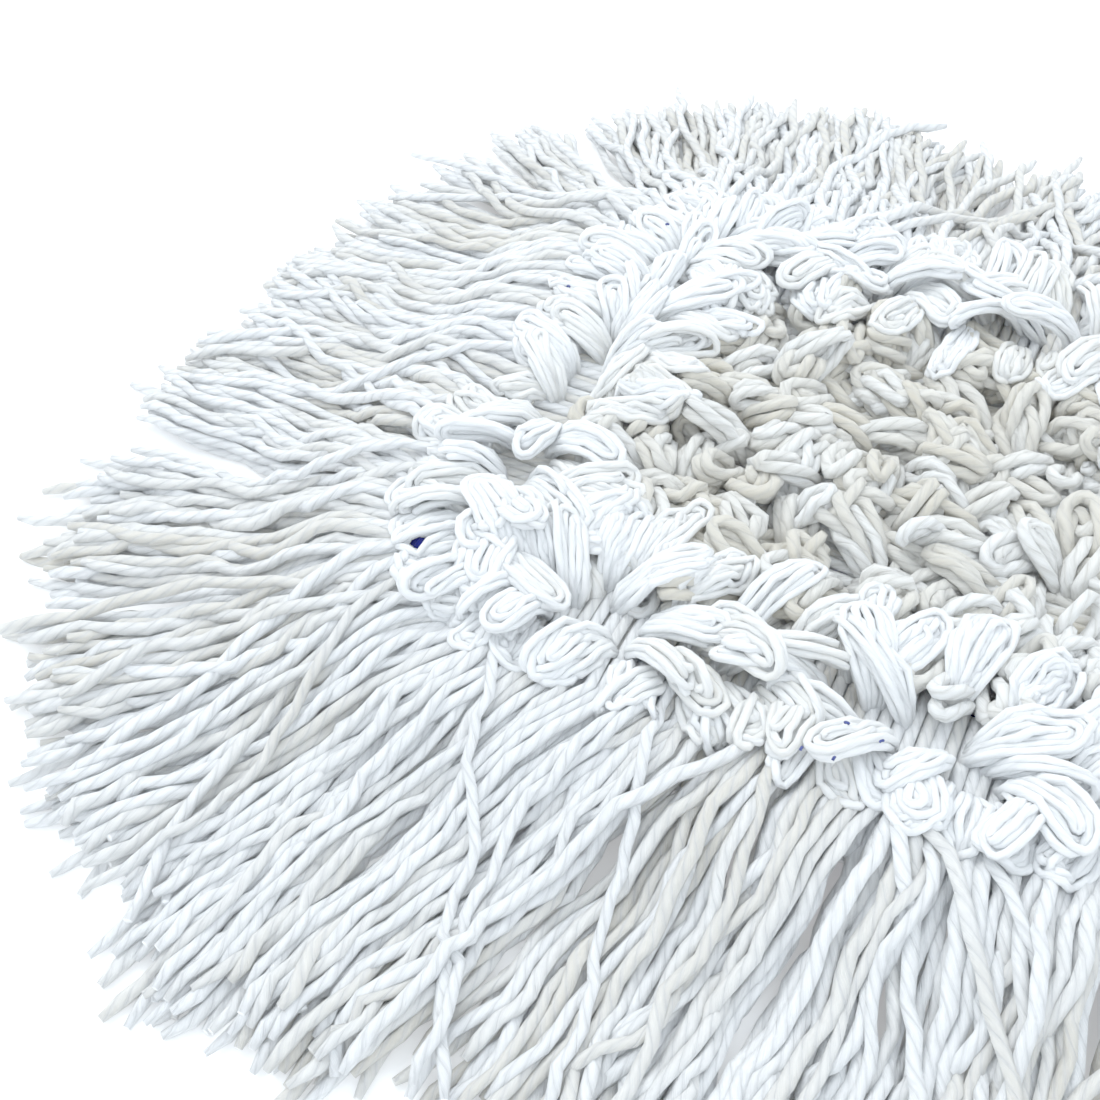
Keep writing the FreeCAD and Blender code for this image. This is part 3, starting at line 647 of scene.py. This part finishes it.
def makeHem(side, plan):
    # The pocket mouth's edge, folded back inside: a flat strip with round long edges. Its half
    # thickness is thick * sqrt(1 - |cos(angle)|^9), even over most of its width and round at both
    # edges.
    node = f"{side}_pocket_hem"
    low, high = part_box(node)
    middle, half, thick = (low.x + high.x) / 2, (high.x - low.x) / 2, (high.z - low.z) / 2
    angle = np.linspace(math.pi, 0, plan["columns"])
    bulge = thick * np.minimum(1, np.sqrt(np.maximum(1 - np.abs(np.cos(angle)) ** 9, 0)))
    y = np.linspace(low.y, high.y, plan["rows"])
    gridX, gridY = np.meshgrid(middle + half * np.cos(angle), y, indexing="ij")
    centre = (low.z + high.z) / 2 + wrinkles(y * 2.0, y * 0.7, plan["ripple"])[None, :]
    rise = np.maximum(bulge, plan["thinnest"])[:, None]
    upper = np.stack([gridX, gridY, centre + rise], axis=-1)
    lower = np.stack([gridX, gridY, centre - rise], axis=-1)
    sheet = shellArrays(upper, lower, np.stack([gridX, gridY], axis=-1))
    return makeCloth(f"{side}Hem", sheet, pocketCanvas, (node,))


stitchPlan = {
    "pitch": 4.2 * mm, "length": 3.5 * mm, "thread": 0.56 * mm, "bow": 0.32 * mm, "rings": 6, "sides": 5,
    "pocketCount": 96,
}


def makeStitches(name, starts, directions, node, plan):
    # Each stitch is a short thread that comes out of the cloth, bows under it and goes back in:
    # z = level - bow * sin(pi * t)^0.6
    count = len(starts)
    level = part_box(node)[1].z - plan["thread"] / 2 + 0.3 * mm
    t = np.linspace(0, 1, plan["rings"])[None, :]
    bow = plan["bow"] + draw.normal(0, 0.04 * mm, (count, 1))
    flat = starts[:, None] + directions[:, None] * (plan["length"] * (t - 0.5))[..., None]
    high = level - (bow + 0.06 * mm) * np.sin(math.pi * t) ** 0.6
    tube = np.concatenate([flat, high[..., None]], axis=2)
    tone = draw.random(count)
    radius, sides = plan["thread"] / 2, plan["sides"]
    return makeYarns(name, tube, radius, sides, tone, thread, (node,))


def stitchesBetween(begin, finish, inset, count):
    # Evenly spaced stitches along the outline from one distance to another, inset from it
    edge, normal = outlineAt(np.linspace(begin, finish, 4000))
    line = edge - normal * inset
    run = lengthAlong(line[None])[0]
    at = (np.arange(count) + 0.5) * run[-1] / count
    starts = np.stack([np.interp(at, run, line[:, axis]) for axis in (0, 1)], axis=-1)
    facing = unit(np.stack([np.interp(at, run, normal[:, axis]) for axis in (0, 1)], axis=-1))
    return starts, np.stack([-facing[:, 1], facing[:, 0]], axis=-1)


def stitchesRound(inset):
    count = int((outlineLength - inset * turn) / stitchPlan["pitch"])
    return stitchesBetween(0, outlineLength, inset, count)


def stitchesAlong(begin, finish):
    # Stitches along a straight line
    begin, finish = np.array(begin), np.array(finish)
    length = np.linalg.norm(finish - begin)
    count = int(length / stitchPlan["pitch"])
    t = (np.arange(count) + 0.5)[:, None] / count
    return begin + (finish - begin) * t, np.repeat([(finish - begin) / length], count, axis=0)


def makeAllStitches(plan):
    made = []
    seams = {
        "fringe_stitching": "fringeStitches",
        "binding_stitching": "bindingStitches",
        "outer_loop_stitching": "outerLoopStitches",
    }
    for node, name in seams.items():
        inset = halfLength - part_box(node)[1].x + 0.3 * mm
        made.append(makeStitches(name, *stitchesRound(inset), node, plan))
    for number in range(1, 7):
        node = f"inner_row_stitching_{number}"
        low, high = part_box(node)
        y = (low.y + high.y) / 2
        line = stitchesAlong((low.x, y), (high.x, y))
        made.append(makeStitches(f"innerRowStitches{number}", *line, node, plan))
    for side in ("left", "right"):
        node = f"{side}_pocket_stitching"
        low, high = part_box(node)
        mouth = min(abs(low.x), abs(high.x))
        inset = halfWidth - high.y + 0.3 * mm
        # Where the mouth is on the outline's back and front sides, as distances along it
        back, front = sum(sideRuns[:2]) + straightX, sum(sideRuns[:6]) + straightX
        ends = (back + mouth, front - mouth)
        if side == "right":
            ends = (front + mouth, outlineLength + back - mouth)
        line = stitchesBetween(*ends, inset, plan["pocketCount"])
        made.append(makeStitches(f"{side}PocketStitches", *line, node, plan))
    return made


backing = makeBacking(backingPlan)
binding = makeBinding(bindingPlan)
pockets = {side: makePocket(side, pocketPlan) for side in ("left", "right")}
hems = {side: makeHem(side, hemPlan) for side in ("left", "right")}
stitches = makeAllStitches(stitchPlan)
print("backing, pockets and stitching made")


def closePairs(points, reach, owner):
    # Pairs of points of different yarns within reach, found by sorting the points into cubes of that size
    cube = np.floor((points - points.min(axis=0)) / reach).astype(np.int64) + 1
    size = cube.max(axis=0) + 2
    key = (cube[:, 0] * size[1] + cube[:, 1]) * size[2] + cube[:, 2]
    order = np.argsort(key, kind="stable")
    ranked = key[order]
    firsts, seconds = [], []
    # Half of the 27 cubes round a point's own, and its own: every pair is met once
    for x, y, z in (step for step in np.ndindex(3, 3, 3) if step >= (1, 1, 1)):
        wanted = key + ((x - 1) * size[1] + y - 1) * size[2] + z - 1
        low = np.searchsorted(ranked, wanted, "left")
        total = np.searchsorted(ranked, wanted, "right") - low
        first = np.repeat(np.arange(len(points)), total)
        step = np.arange(total.sum()) - np.repeat(np.cumsum(total) - total, total)
        second = order[np.repeat(low, total) + step]
        keep = owner[first] != owner[second]
        if (x, y, z) == (1, 1, 1):
            keep &= first < second
        first, second = first[keep], second[keep]
        near = ((points[first] - points[second]) ** 2).sum(axis=1) < reach**2
        firsts.append(first[near])
        seconds.append(second[near])
    return np.concatenate(firsts), np.concatenate(seconds)


# Where the strings part a little and the blue tape shows, near the left end's near corner
partingPlan = {"foot": (8.9 * mm, 23.8 * mm), "lean": (0.396, -0.556, 0.731), "radius": 1.8 * mm}


def partStrings(paths, plan=partingPlan):
    # Moves whatever is nearer than radius to the leaning line straight out from it
    foot = np.array([plan["foot"][0] - halfLength, plan["foot"][1] - halfWidth, tapeTop])
    lean = unit(np.array(plan["lean"]))
    apart = paths - foot
    apart = apart - (apart @ lean)[..., None] * lean
    far = np.maximum(np.linalg.norm(apart, axis=-1, keepdims=True), 1e-6)
    return paths + apart * np.maximum(plan["radius"] - far, 0) / far


def settle(paths, held, plan, groundAt):
    # Pushes yarns apart until they lie beside each other. Points of different yarns nearer than a
    # yarn's thickness move apart by half of what they lack, each yarn keeps its length, and what is
    # under groundAt rises. Memory draws every point back a little to where it began.
    gap = plan["diameter"] * 0.95
    count, knots = paths.shape[:2]
    owner = np.repeat(np.arange(count), knots)
    total = count * knots
    rest = np.linalg.norm(np.diff(paths, axis=1), axis=2, keepdims=True)
    loose = (1.0 - held)[..., None]
    begun = paths.copy()
    for number in range(plan["rounds"]):
        flat = paths.reshape(-1, 3)
        if number % 4 == 0:
            first, second = closePairs(flat, gap * 1.25, owner)
        apart = flat[first] - flat[second]
        far = np.maximum(np.sqrt((apart**2).sum(axis=1)), 1e-6)
        push = apart * (np.maximum(gap - far, 0) / far * 0.5)[:, None]
        touches = np.bincount(first, far < gap, total) + np.bincount(second, far < gap, total)
        shift = [np.bincount(first, part, total) - np.bincount(second, part, total) for part in push.T]
        shift = np.stack(shift, axis=1) / np.maximum(touches, 1)[:, None] ** 0.5
        paths = paths + shift.reshape(paths.shape) * loose
        middle = (paths[:, :-2] + paths[:, 2:]) / 2
        paths[:, 1:-1] += (middle - paths[:, 1:-1]) * plan["smoothing"] * loose[:, 1:-1]
        for _ in range(2):
            span = np.diff(paths, axis=1)
            length = np.maximum(np.linalg.norm(span, axis=2, keepdims=True), 1e-6)
            fix = span * (0.45 * (length - rest) / length)
            paths[:, :-1] += fix * loose[:, :-1]
            paths[:, 1:] -= fix * loose[:, 1:]
        paths += (begun - paths) * plan["memory"] * loose
        sunk = np.maximum(groundAt(paths) - paths[..., 2], 0)
        paths[..., 2] += sunk * 0.5 * loose[..., 0]
        paths = partStrings(paths)
    return paths


mapPlan = {"step": 1 * mm, "corner": (-0.34, -0.19), "squares": (680, 380)}


class HeightMap:
    # The highest yarn over each square of the mop
    def __init__(self, low, plan=mapPlan):
        self.plan = plan
        self.heights = np.full(plan["squares"], low)

    def cells(self, paths):
        cell = ((paths[..., :2] - np.array(self.plan["corner"])) / self.plan["step"]).astype(int)
        return tuple(np.clip(cell[..., axis], 1, self.plan["squares"][axis] - 2) for axis in (0, 1))

    def add(self, paths, radius):
        top = np.full_like(self.heights, -1.0)
        np.maximum.at(top, self.cells(paths), paths[..., 2] + radius)
        for axis in (0, 1):
            top = np.maximum.reduce([top, np.roll(top, 1, axis), np.roll(top, -1, axis)])
        self.heights = np.maximum(self.heights, top)

    def at(self, paths):
        return self.heights[self.cells(paths)]


fringePlan = {
    "diameter": 2.2 * mm,
    "locks": 200,  # tufts of strings that hold together, round the whole edge
    "perLock": 12,
    "cornerShare": 1.5,  # how much closer the tufts are sewn round the corners, where they fan out
    "layers": 4,
    "rootInset": 12 * mm,
    "length": 76 * mm,
    # Stretches of the front side that are combed sideways: the middle, how far they reach, and the lean
    "combed": [(16 * mm, 55 * mm, -0.36), (140 * mm, 50 * mm, 0.08)],
    "knots": 34,
    "rings": 22,
    "sides": 5,
    "rounds": 44,
    "smoothing": 0.06,
    "memory": 0.010,
}


def fringeGround(paths):
    # The surface under the strings: the tape on the pad, then a slope off its edge down to the table
    slope = np.clip(outside(paths) / (16 * mm), 0, 1)
    return fringePlan["diameter"] / 2 + tapeTop * (1 - slope) ** 1.5


def fringePaths(plan):
    # Strings lie in locks. A string runs outwards from its root, gathers towards the middle of its
    # lock, sweeps sideways with it and waves. It drops from the heading to its own depth on the table,
    # by z = high + (depth - high) * smooth((out + 3 mm) / dropEnd), with a low hump over the edge of
    # the pad.
    locks, perLock, knots, layers = plan["locks"], plan["perLock"], plan["knots"], plan["layers"]
    shares = np.array(sideRuns) * np.array([1, plan["cornerShare"]] * 4)
    ends = np.concatenate([[0], np.cumsum(sideRuns)])
    shareEnds = np.concatenate([[0], np.cumsum(shares)])
    lockWide = shareEnds[-1] / locks
    lockAt = np.interp((np.arange(locks) + draw.uniform(0.1, 0.9, locks)) * lockWide, shareEnds, ends)
    lock = np.repeat(np.arange(locks), perLock)
    count = len(lock)
    layer = np.tile(np.arange(perLock) % layers, locks)
    place = np.tile((np.arange(perLock) - (perLock - 1) / 2) / perLock, locks)
    rootAt = lockAt[lock] + place * lockWide * 1.2 + draw.normal(0, 0.6 * mm, count)
    root, normal = outlineAt(rootAt)
    ahead = np.stack([-normal[:, 1], normal[:, 0]], axis=-1)
    length = plan["length"] * (1 + draw.normal(0, 0.04, count) + draw.normal(0, 0.035, locks)[lock])
    length -= layer * 1.6 * mm
    t = np.linspace(0, 1, knots)[None, :]
    # Locks close to each other lean the same way, and each leans a little by itself
    lean = np.convolve(np.tile(draw.normal(0, 0.34, locks), 3), np.ones(9) / 9, "same")[locks:2 * locks]
    for middle, width, combed in plan["combed"]:
        lean = lean + combed * np.exp(-(((lockAt - ends[6] - middle) / width) ** 2))
    sweep = (lean + draw.normal(0, 0.06, locks))[lock] + draw.normal(0, 0.045, count)
    curl = draw.normal(0, 0.12, locks)[lock] + draw.normal(0, 0.06, count)
    stray = draw.random(count) < 0.08
    curl = np.where(stray, draw.normal(0, 0.45, count), curl)
    sweep = np.where(stray, np.clip(draw.normal(0, 0.42, count), -0.8, 0.8), sweep)
    out = -plan["rootInset"] + t * length[:, None]
    gather = -place[:, None] * lockWide * draw.uniform(0.2, 1.1, locks)[lock][:, None] * np.sin(t * 2.0)
    free = np.clip(t * 1.4 - 0.15, 0, None)
    sideways = gather + length[:, None] * (sweep[:, None] * free + curl[:, None] * free**2 * 0.6)
    phase = draw.uniform(0, turn, locks)[lock][:, None] + draw.normal(0, 0.6, count)[:, None]
    waves = draw.uniform(1.8, 3.6, locks)[lock][:, None] + draw.normal(0, 0.2, count)[:, None]
    crimp = draw.uniform(0.6, 2.0, count)[:, None] * mm * np.clip(t * 3, 0, 1)
    sideways = 32 * mm * np.tanh(sideways / (32 * mm)) + crimp * np.sin(phase + turn * waves * t)
    rise = crimp * 0.6 * np.cos(1.3 * phase + turn * waves * 0.8 * t)
    depth = (1.1 + np.where(stray, layers + 0.5, layer) * 1.7) * mm
    dropEnd = draw.uniform(24, 40, count)[:, None] * mm
    ease = smooth((out + 3 * mm) / dropEnd)
    high = tapeTop + depth[:, None] * 0.8
    thin = 1 - 0.35 * t
    hump = (0.8 + 0.8 * layer[:, None]) * mm * np.exp(-(((out - 9 * mm) / (10 * mm)) ** 2))
    z = high + (depth[:, None] * thin - high) * ease + hump + rise
    flat = root[:, None] + normal[:, None] * out[..., None] + ahead[:, None] * sideways[..., None]
    paths = np.concatenate([flat, z[..., None]], axis=2)
    held = np.where(t < 0.14, 1.0, 0.0) * np.ones((count, 1))
    return paths, held, rootAt


def makeFringe(plan, heights):
    paths, held, rootAt = fringePaths(plan)
    paths = settle(paths, held, plan, fringeGround)
    heights.add(paths, plan["diameter"] / 2)
    tube = crimped(curveThrough(paths, plan["rings"]), 0.42 * mm, 11 * mm)
    radius = unevenRadius(tube, plan["diameter"] / 2 * 1.04, 0.07, 0.04)
    radius[:, -1] *= 0.6
    tone = draw.random(len(tube))
    # Each section takes the strings whose roots lie in front of its own stretch of the edge
    names = ["right", "back_right", "back", "back_left", "left", "front_left", "front", "front_right"]
    run, into = sideAt(np.mod(rootAt, outlineLength))
    third = np.where(run % 2 == 1, np.minimum((into / (quarterArc / 3)).astype(int), 2) + 1, 0)
    made = []
    for number, name in enumerate(names):
        for part in (0,) if number % 2 == 0 else (1, 2, 3):
            node = f"fringe_{name}_{part}" if part else f"fringe_{name}"
            mine = (run == number) & (third == part)
            title = "strings" + "".join(word.title() for word in node.split("_")[1:])
            piece = makeYarns(
                title, tube[mine], radius[mine], plan["sides"], tone[mine], fringeYarn,
                (node,), body=None,
            )
            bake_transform(piece)
            made.append(piece)
    print("fringe made:", len(tube), "strings")
    return made


# The strings run from one inset of the edge to the other, and turn down past it by drop
headingPlan = {
    "diameter": 2.3 * mm, "strings": 520, "rings": 7, "sides": 5,
    "from": 31 * mm, "to": -2.6 * mm, "drop": 2.2 * mm,
}


def makeHeading(plan):
    # The strings' inner ends, side by side in two layers under the outer loops
    count = plan["strings"]
    t = np.linspace(0, 1, plan["rings"])[None, :, None]
    layers = []
    for layer in range(2):
        at = (np.arange(count) + 0.5 * layer + draw.normal(0, 0.12, count)) * outlineLength / count
        edge, normal = outlineAt(at)
        inset = plan["from"] + draw.normal(0, 0.8 * mm, count)
        start = edge - normal * inset[:, None]
        finish = edge - normal * plan["to"]
        flat = start[:, None] + (finish - start)[:, None] * t
        low = tapeTop + (layer + 0.5) * plan["diameter"] * 0.86
        z = low + draw.normal(0, 0.12 * mm, (count, plan["rings"], 1)) - plan["drop"] * t**12
        layers.append(np.concatenate([flat, z], axis=2))
    tube = partStrings(np.concatenate(layers))
    tone = draw.random(len(tube))
    radius, sides = plan["diameter"] / 2, plan["sides"]
    print("heading made:", len(tube), "string ends")
    return makeYarns(
        "headingStrings", tube, radius, sides, tone, fringeYarn, ("fringe_heading",)
    )


def loopPaths(feet, heading, shape, plan):
    # A bundle is a few nested yarn loops. On the flat, a loop goes out along one side, round a half
    # circle and back along the other side, and its two feet are pinched together. The flat is bent over
    # along a spine whose slope goes evenly from rise at the feet to fall at the tip, and it is rolled
    # about that spine.
    long, wide, rise, fall = shape
    bundles, thick, knots = len(feet), plan["diameter"], plan["knots"]
    slots = np.array(plan["slots"])
    use = draw.random((bundles, len(slots))) < plan["filled"]
    use[:, 0] = True
    bundle, slot = np.nonzero(use)
    nest, layer = slots[slot].T
    count = len(bundle)
    stray = draw.random(count) < plan["strays"]
    reach = long[bundle] - nest * thick * 0.95 + draw.normal(0, 0.35 * mm, count)
    reach = np.where(stray, reach * draw.uniform(0.65, 1.25, count), reach)[:, None]
    half = np.maximum(wide[bundle] / 2 - (nest + 0.5) * thick * 0.98, 0.55 * thick)[:, None]
    leg, arc = reach - half, math.pi * half
    at = np.linspace(0, 1, knots)[None, :] * (2 * leg + arc)
    bend = np.clip(at - leg, 0, arc) / half
    forward = np.minimum(at, leg) + half * np.sin(bend) - np.maximum(at - leg - arc, 0)
    opening = smooth(forward / (0.55 * reach))
    sideways = half * np.cos(bend) * (0.35 + 0.65 * opening)
    upright = (layer[:, None] - 0.5) * thick * 0.92 * (0.5 + 0.5 * opening)
    along = forward / long[bundle][:, None]
    rise, fall = rise[bundle][:, None], fall[bundle][:, None]
    slope = rise + (fall - rise) * along
    level = long[bundle][:, None] * (np.sin(slope) - np.sin(rise)) / (fall - rise)
    height = long[bundle][:, None] * (np.cos(rise) - np.cos(slope)) / (fall - rise)
    roll = draw.normal(0, plan["roll"], bundles)[bundle] + np.where(stray, draw.normal(0, 0.8, count), 0)
    roll = roll[:, None] * (0.4 + 0.6 * along) + draw.normal(0, 0.5, bundles)[bundle][:, None] * along
    side = sideways * np.cos(roll) - upright * np.sin(roll)
    lift = sideways * np.sin(roll) + upright * np.cos(roll)
    curl = (draw.normal(0, 0.2, bundles)[bundle] + draw.normal(0, 0.05, count))[:, None]
    side = side + curl * long[bundle][:, None] * along**2
    wavePhase = draw.uniform(0, turn, (count, 1))
    side = side + 0.15 * mm * np.sin(wavePhase + turn * 2.5 * at / (2 * leg + arc))
    direction = np.stack([np.cos(heading), np.sin(heading)], axis=-1)[bundle][:, None]
    across = np.stack([-direction[..., 1], direction[..., 0]], axis=-1)
    flat = feet[bundle][:, None, :2] + direction * (level - np.sin(slope) * lift)[..., None]
    flat = flat + across * side[..., None]
    z = feet[bundle][:, None, 2] + height + np.cos(slope) * lift
    paths = np.concatenate([flat, z[..., None]], axis=2)
    held = np.where((at < 2.5 * mm) | (at > 2 * leg + arc - 2.5 * mm), 1.0, 0.0)
    return paths, held, bundle


outerPlan = {
    "diameter": 1.3 * mm,
    "slots": [(0, 0), (1, 0), (2, 0), (0, 1), (1, 1), (2, 1)],  # (nest, layer) of each yarn in a bundle
    "filled": 0.86, "strays": 0.07, "roll": 0.55,
    "knots": 40, "rings": 18, "sides": 5, "rounds": 36, "smoothing": 0.08, "memory": 0.03,
    # How far in each line of bundles is sewn, how many bundles it has, and how they lie: 0 points
    # outwards
    "lines": [
        {"inset": 14 * mm, "bundles": 200, "turned": 0.0, "spread": 0.4, "rise": 1.0, "fall": -1.0,
         "long": (12, 16)},
        {"inset": 17 * mm, "bundles": 150, "turned": 0.6, "spread": 0.5, "rise": 1.3, "fall": -0.5,
         "long": (15, 21)},
        {"inset": 21 * mm, "bundles": 150, "turned": 2.2, "spread": 0.5, "rise": 1.25, "fall": -0.4,
         "long": (17, 24)},
        {"inset": 27 * mm, "bundles": 130, "turned": math.pi, "spread": 0.4, "rise": 1.0, "fall": -0.6,
         "long": (15, 21)},
    ],
}
innerPlan = {
    "diameter": 2.15 * mm, "slots": [(0, 0), (1, 0), (0, 1)], "filled": 0.72, "strays": 0.08, "roll": 0.5,
    "bundles": 190, "knots": 28, "rings": 13, "sides": 5, "rounds": 36, "smoothing": 0.08, "memory": 0.012,
    "rowYarns": 7, "rowRings": 70,
}


def makeLoopPiece(name, tube, tone, material, plan, node):
    radius = unevenRadius(tube, plan["diameter"] / 2 * 1.14, 0.05, 0.035)
    return makeYarns(name, tube, radius, plan["sides"], tone, material, (node,))


def makeRowYarns(number, plan):
    # The yarns that run along the row between its loops and the backing, laid side by side
    node = f"inner_loop_row_{number}"
    low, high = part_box(node)
    count = plan["rowYarns"]
    tube = np.empty((count, plan["rowRings"], 3))
    tube[..., 1] = (np.linspace(low.y, high.y, count) + draw.normal(0, 0.2 * mm, count))[:, None]
    tube[..., 0] = np.linspace(low.x - 6 * mm, high.x + 6 * mm, plan["rowRings"])
    tube[..., 2] = backingTop + plan["diameter"] * 0.5
    tube = crimped(tube, 0.3 * mm, 19 * mm)
    tone = draw.random(count)
    radius, sides = plan["diameter"] / 2 * 1.1, plan["sides"]
    return makeYarns(f"rowYarns{number}", tube, radius, sides, tone, innerYarn, (node,))


def makeInnerLoops(plan, heights):
    feet, row = [], []
    for number in range(1, 7):
        low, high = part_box(f"inner_loop_row_{number}")
        count = plan["bundles"]
        x = np.linspace(low.x - 3 * mm, high.x + 3 * mm, count) + draw.normal(0, 1.0 * mm, count)
        y = (low.y + high.y) / 2 + draw.normal(0, 1.2 * mm, count) + (np.arange(count) % 2 - 0.5) * 5 * mm
        feet.append(np.stack([x, y, np.full(count, backingTop + 0.8 * mm)], axis=1))
        row.append(np.full(count, number))
    feet, row = np.concatenate(feet), np.concatenate(row)
    total = len(feet)
    # Neighbours lie the same way: the heading drifts over the pad in broad patches
    x, y = feet[:, 0], feet[:, 1]
    drift = np.sin(x * 47 + 2.0 * np.sin(y * 61)) + 0.7 * np.sin(x * 113 - y * 75)
    heading = -0.5 * math.pi + 0.95 * drift + draw.normal(0, 0.55, total)
    heading = np.where(draw.random(total) < 0.3, heading + math.pi, heading)
    # A third of the bundles lie low, under the others
    low = draw.random(total) < 0.33
    heading = np.where(low, draw.uniform(0, turn, total), heading)
    shape = (
        draw.uniform(11, 17, total) * mm, draw.uniform(5, 8, total) * mm,
        np.where(low, 0.35, draw.uniform(1.1, 1.5, total)),
        np.where(low, -0.2, draw.uniform(-0.8, 0.2, total)),
    )
    paths, held, bundle = loopPaths(feet, heading, shape, plan)
    ground = backingTop + plan["diameter"] / 2
    paths = settle(paths, held, plan, lambda _: ground)
    paths[..., 2] = np.maximum(paths[..., 2], ground)
    heights.add(paths, plan["diameter"] / 2)
    tube = crimped(curveThrough(paths, plan["rings"], 1.6), 0.3 * mm, 9 * mm)
    tone = np.clip(draw.random(total)[bundle] * 0.7 + draw.random(len(tube)) * 0.3, 0, 1)
    made = []
    for number in range(1, 7):
        mine = row[bundle] == number
        node = f"inner_loop_row_{number}"
        made.append(makeLoopPiece(f"innerLoops{number}", tube[mine], tone[mine], innerYarn, plan, node))
        made.append(makeRowYarns(number, plan))
    print("inner loops made:", len(tube), "loops")
    return made


def makeOuterLoops(plan, heights):
    parts = []
    for line in plan["lines"]:
        count = line["bundles"]
        at = (np.arange(count) + draw.uniform(-0.35, 0.35, count)) * outlineLength / count
        edge, normal = outlineAt(at)
        spot = edge - normal * (line["inset"] + draw.normal(0, 1.2 * mm, count))[:, None]
        foot = np.concatenate([spot, np.full((count, 1), headingTop - 1 * mm)], axis=1)
        outwards = np.arctan2(normal[:, 1], normal[:, 0])
        # Bundles lie over to one side in stretches, as they were combed or trodden
        side = np.where(np.sin(at * 55 + 3 * np.sin(at * 17)) > 0, 1, -1)
        heading = outwards + line["turned"] * side + draw.normal(0, line["spread"], count)
        shape = [
            draw.uniform(*line["long"], count) * mm, draw.uniform(5.5, 8.5, count) * mm,
            line["rise"] + draw.normal(0, 0.15, count), line["fall"] + draw.normal(0, 0.2, count),
        ]
        parts.append((foot, heading, *shape))
    feet, heading, *shape = (np.concatenate(part) for part in zip(*parts))
    paths, held, bundle = loopPaths(feet, heading, shape, plan)
    paths = settle(paths, held, plan, heights.at)
    paths[..., 2] = np.maximum(paths[..., 2], tapeTop + plan["diameter"] / 2)
    heights.add(paths, plan["diameter"] / 2)
    tube = crimped(curveThrough(paths, plan["rings"], 1.7), 0.2 * mm, 7 * mm)
    tone = np.clip(draw.random(len(feet))[bundle] * 0.7 + draw.random(len(tube)) * 0.3, 0, 1)
    # Pieces are stretches of the closed row
    foot = feet[bundle]
    onFront = foot[:, 1] < 0
    onLong = np.abs(foot[:, 0]) <= straightX
    stretches = {"Left": foot[:, 0] < -straightX, "Right": foot[:, 0] > straightX}
    for side, onSide in (("Front", onFront), ("Back", ~onFront)):
        stretches[side + "Left"] = onLong & onSide & (foot[:, 0] < 0)
        stretches[side + "Right"] = onLong & onSide & (foot[:, 0] >= 0)
    print("outer loops made:", len(tube), "loops")
    return [
        makeLoopPiece(f"outerLoops{name}", tube[mine], tone[mine], loopYarn, plan, "outer_loop_row")
        for name, mine in stretches.items()
    ]


tapeEndPlan = {"half": 6.5 * mm, "high": 10 * mm, "thick": 0.6 * mm, "steps": 26}


def makeTapeEnd(plan):
    # Where the tape's two ends overlap, the spare cloth stands up in a small puffed fold between the
    # parted strings: z = tapeTop + high * (1 - x^2)^2 * (1 - y^2)^2, with x and y from -1 to 1 over the
    # patch. It swells a little more on one side.
    foot = np.array(partingPlan["foot"]) - np.array([halfLength, halfWidth])
    lean = unit(np.array(partingPlan["lean"]))
    x, y = np.meshgrid(*[np.linspace(-1, 1, plan["steps"])] * 2, indexing="ij")
    rise = plan["high"] * (1 - x**2) ** 2 * (1 - y**2) ** 2 * (1 + 0.12 * np.sin(5 * x + 2 * y))
    # The fold leans the way that the strings are parted
    shift = rise[..., None] * lean[:2] / lean[2]
    flat = foot + np.stack([x, y], axis=-1) * plan["half"] + shift
    grid = np.concatenate([flat, (tapeTop + rise)[..., None]], axis=2)
    upper = grid + gridNormals(grid) * plan["thick"] * 0.5
    lower = grid - gridNormals(grid) * plan["thick"] * 0.5
    spread = np.stack([x * plan["half"], y * plan["half"] + rise], axis=-1)
    return makeCloth("tapeEnd", shellArrays(upper, lower, spread), tape, ())


pulledPlan = {
    "thread": 0.5 * mm, "length": 0.7 * mm, "strays": 8, "rings": 6, "sides": 6,
    # Millimetres from the backing's near left corner, along the front and in from it
    "places": [(88.4, 3.7), (93.3, 3.9), (93.0, 10.9), (98.6, 11.0)],
}


def makePulledThreads(plan, heights):
    # Short blue ends that lie on the yarn. Some are at set places and the others are anywhere along the
    # seam.
    edge, normal = outlineAt(draw.uniform(0, outlineLength, plan["strays"]))
    anywhere = edge - normal * draw.uniform(3, 12, plan["strays"])[:, None] * mm
    chosen = np.array(plan["places"]) * mm - np.array([halfLength, halfWidth])
    spots = np.concatenate([chosen, anywhere])
    count = len(spots)
    angle = draw.uniform(0, turn, count)
    along = np.stack([np.cos(angle), np.sin(angle)], axis=-1) * plan["length"] / 2
    t = np.linspace(-1, 1, plan["rings"])[None, :, None]
    flat = spots[:, None] + along[:, None] * t
    top = heights.at(spots)[:, None, None] - 0.1 * mm - 0.2 * mm * t**2
    tube = np.concatenate([flat, top], axis=2)
    tone = draw.random(count)
    radius, sides = plan["thread"] / 2, plan["sides"]
    return makeYarns("pulledThreads", tube, radius, sides, tone, blueThread, ())


tapeEnd = makeTapeEnd(tapeEndPlan)
heights = HeightMap(backingTop)
pile = [*makeFringe(fringePlan, heights), makeHeading(headingPlan)]
pile += [*makeInnerLoops(innerPlan, heights), *makeOuterLoops(outerPlan, heights)]
pile.append(makePulledThreads(pulledPlan, heights))


def makeFloor(plan):
    half = plan["side"] / 2
    points = np.array([[-half, -half, 0], [half, -half, 0], [half, half, 0], [-half, half, 0]], float)
    mesh = bpy.data.meshes.new("floor")
    mesh.from_pydata(points.tolist(), [], [(0, 1, 2, 3)])
    mesh.materials.append(floorMaterial("paleFloor", plan["colour"], plan["glow"]))
    floor = bpy.data.objects.new("floor", mesh)
    bpy.context.scene.collection.objects.link(floor)


makeFloor(floorPlan)
